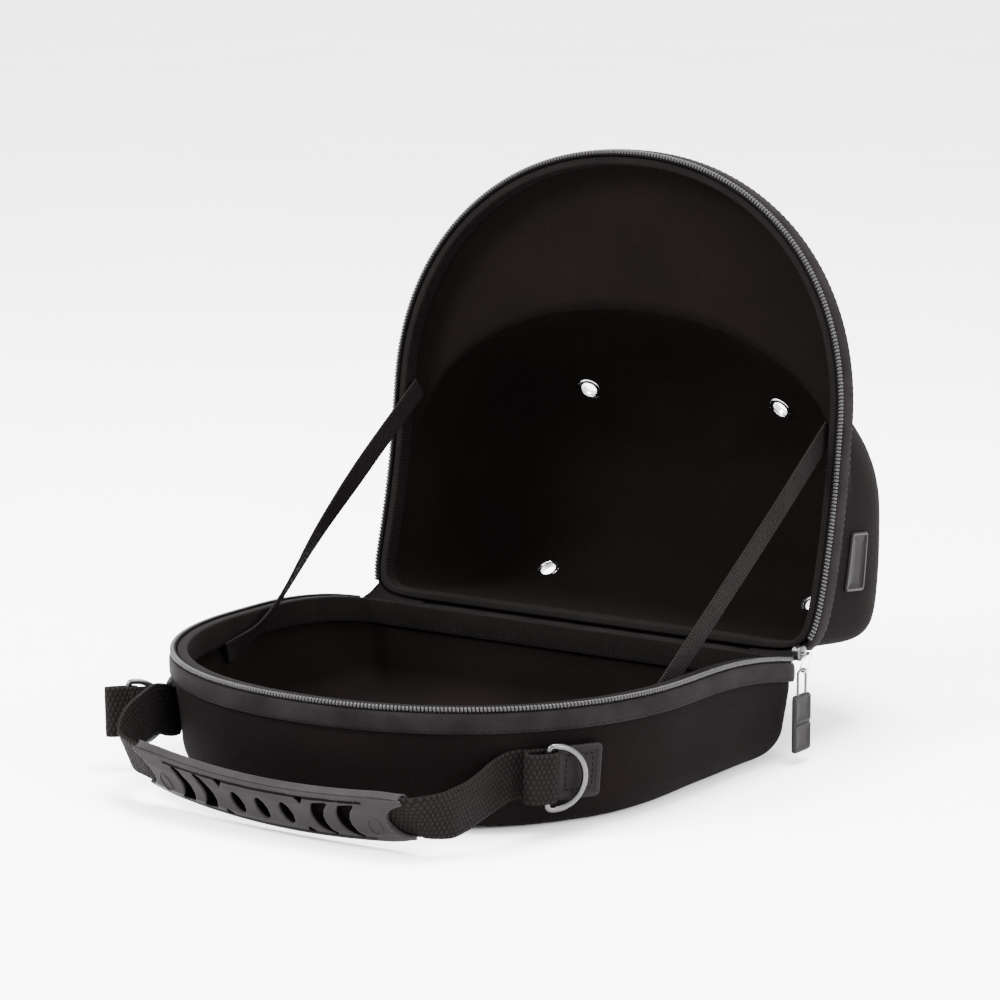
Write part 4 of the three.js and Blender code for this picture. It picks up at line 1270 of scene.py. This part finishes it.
plate("slider_body", Slider.size.y / 2, Slider.size.z / 2, 2.2,
      [(0.5, 0), (0.1, 0.35), (0, 0.9), (0.25, 1.5), (0.25, 2.9), (0, 3.5), (0.1, 4.05), (0.6, 4.4)],
      on_slider, gunmetal, "gunmetal", replaces=("zip_slider",))
face_x = Slider.at.x + Slider.size.x / 2
pivot = Vector((face_x + Slider.bridge, Slider.at.y, Slider.at.z))
bridge = [Vector((face_x + Slider.bridge * c, Slider.at.y + Slider.bridge * s, Slider.at.z))
          for c, s in circle(40)]
wire("slider_bridge", bridge, Slider.wire - WIRE_SLIM, gunmetal, "gunmetal", CASE_BODY)

link_lean = math.radians(Pull.link_lean)
link_reach = Pull.link_half[1] - Pull.wire - GAP
link_down = Vector((0, -math.sin(link_lean), -math.cos(link_lean)))
link_centre = pivot + link_down * link_reach
link_points = [
    link_centre + Vector((p.x, 0, 0)) - link_down * p.y
    for p in round_rect(Pull.link_half[0], Pull.link_half[1], Pull.link_half[0] - 0.01, 8, 8)
]
wire("pull_link_wire", link_points, Pull.wire - WIRE_SLIM, nickel, "nickel", PULL_BODY, ("pull_link",))

tag_centre = Vector((pivot.x, Pull.y, Pull.bottom + Pull.tag_height / 2))


def on_tag(u, v, out):
    return tag_centre + Vector((out - Pull.tag_thickness / 2, u, v))


plate("pull_tag_body", Pull.tag_width / 2, Pull.tag_height / 2, 1.8,
      [(0.5, 0), (0.1, 0.2), (0, 0.6), (0, 1.75), (0.25, 2.05), (5.0, 2.05)],
      on_tag, pull_rubber, "pull_rubber", PULL_BODY, ("pull_tag",))
for half, shift in (("upper", 0.25), ("lower", -0.25)):
    plate(f"pull_tag_{half}", Pull.tag_width / 2 - 0.15, Pull.tag_height / 4 - 0.45, 1.4,
          [(0, 1.6), (0, 2.3), (0.25, 2.6), (1.2, 2.6), (1.45, 2.4), (5.0, 2.4)],
          lambda u, v, out, shift=shift: on_tag(u, v + shift * Pull.tag_height, out),
          pull_rubber, "pull_rubber", PULL_BODY)
shackle_top = link_centre.z + link_reach * link_down.z
shackle_low = Pull.bottom + Pull.tag_height - 3
shackle_half = (shackle_top - shackle_low) / 2
shackle = [
    Vector((pivot.x, Pull.y + p.x, shackle_low + shackle_half + p.y))
    for p in round_rect(Pull.shackle_width / 2, shackle_half, 2, 8, 8)
]
wire("pull_shackle", shackle, Pull.wire, gunmetal, "gunmetal", PULL_BODY)


# Floor, light and camera
def floor():
    look = Look("paper_floor", 0.9)
    cloud = look.noise(4, 3)
    paper = look.done(look.blend((0.88, 0.88, 0.88), (0.92, 0.92, 0.92), cloud, 0.3, 0.7),
                      look.bump(look.noise(600, 2), 0.0001, 0.2))
    mesh = bpy.data.meshes.new("paper")
    size = 8.0
    mesh.from_pydata([(-size, -size, 0), (size, -size, 0), (size, size, 0), (-size, size, 0)], [],
                     [(0, 1, 2, 3)])
    mesh.materials.append(paper)
    piece = bpy.data.objects.new("paper", mesh)
    piece.location.z = -0.0005
    bpy.context.collection.objects.link(piece)


def area_light(name, location, target, size, power):
    light = bpy.data.lights.new(name, "AREA")
    light.shape, light.size, light.energy = "DISK", size, power
    lamp = bpy.data.objects.new(name, light)
    lamp.location = location
    lamp.rotation_mode = "QUATERNION"
    lamp.rotation_quaternion = (Vector(target) - Vector(location)).to_track_quat("-Z", "Y")
    bpy.context.collection.objects.link(lamp)


def studio():
    world = bpy.data.worlds.new("studio")
    world.use_nodes = True
    backdrop = world.node_tree.nodes["Background"]
    backdrop.inputs[0].default_value = (1, 1, 1, 1)
    backdrop.inputs[1].default_value = 4.6
    bpy.context.scene.world = world
    middle = (0, 0, 0.1)
    area_light("key", (-0.9, -1.3, 1.5), middle, 0.9, 150)
    area_light("top", (0.2, 0.1, 1.9), middle, 1.1, 150)
    area_light("side", (1.8, -0.4, 0.8), middle, 0.8, 60)


def camera():
    azimuth, elevation, distance = math.radians(34.0), math.radians(10.53), 1826.0
    target = Vector((28.69, 0, 131.59))
    back = Vector((
        math.sin(azimuth) * math.cos(elevation),
        -math.cos(azimuth) * math.cos(elevation),
        math.sin(elevation),
    ))
    data = bpy.data.cameras.new("camera")
    data.sensor_width = 36.0
    data.lens = 2.15 * distance / 1000 * data.sensor_width
    data.clip_start, data.clip_end = 0.05, 40
    made = bpy.data.objects.new("camera", data)
    made.location = (target + back * distance) * MM
    made.rotation_mode = "QUATERNION"
    made.rotation_quaternion = (-back).to_track_quat("-Z", "Y")
    bpy.context.collection.objects.link(made)
    bpy.context.scene.camera = made


floor()
studio()
camera()
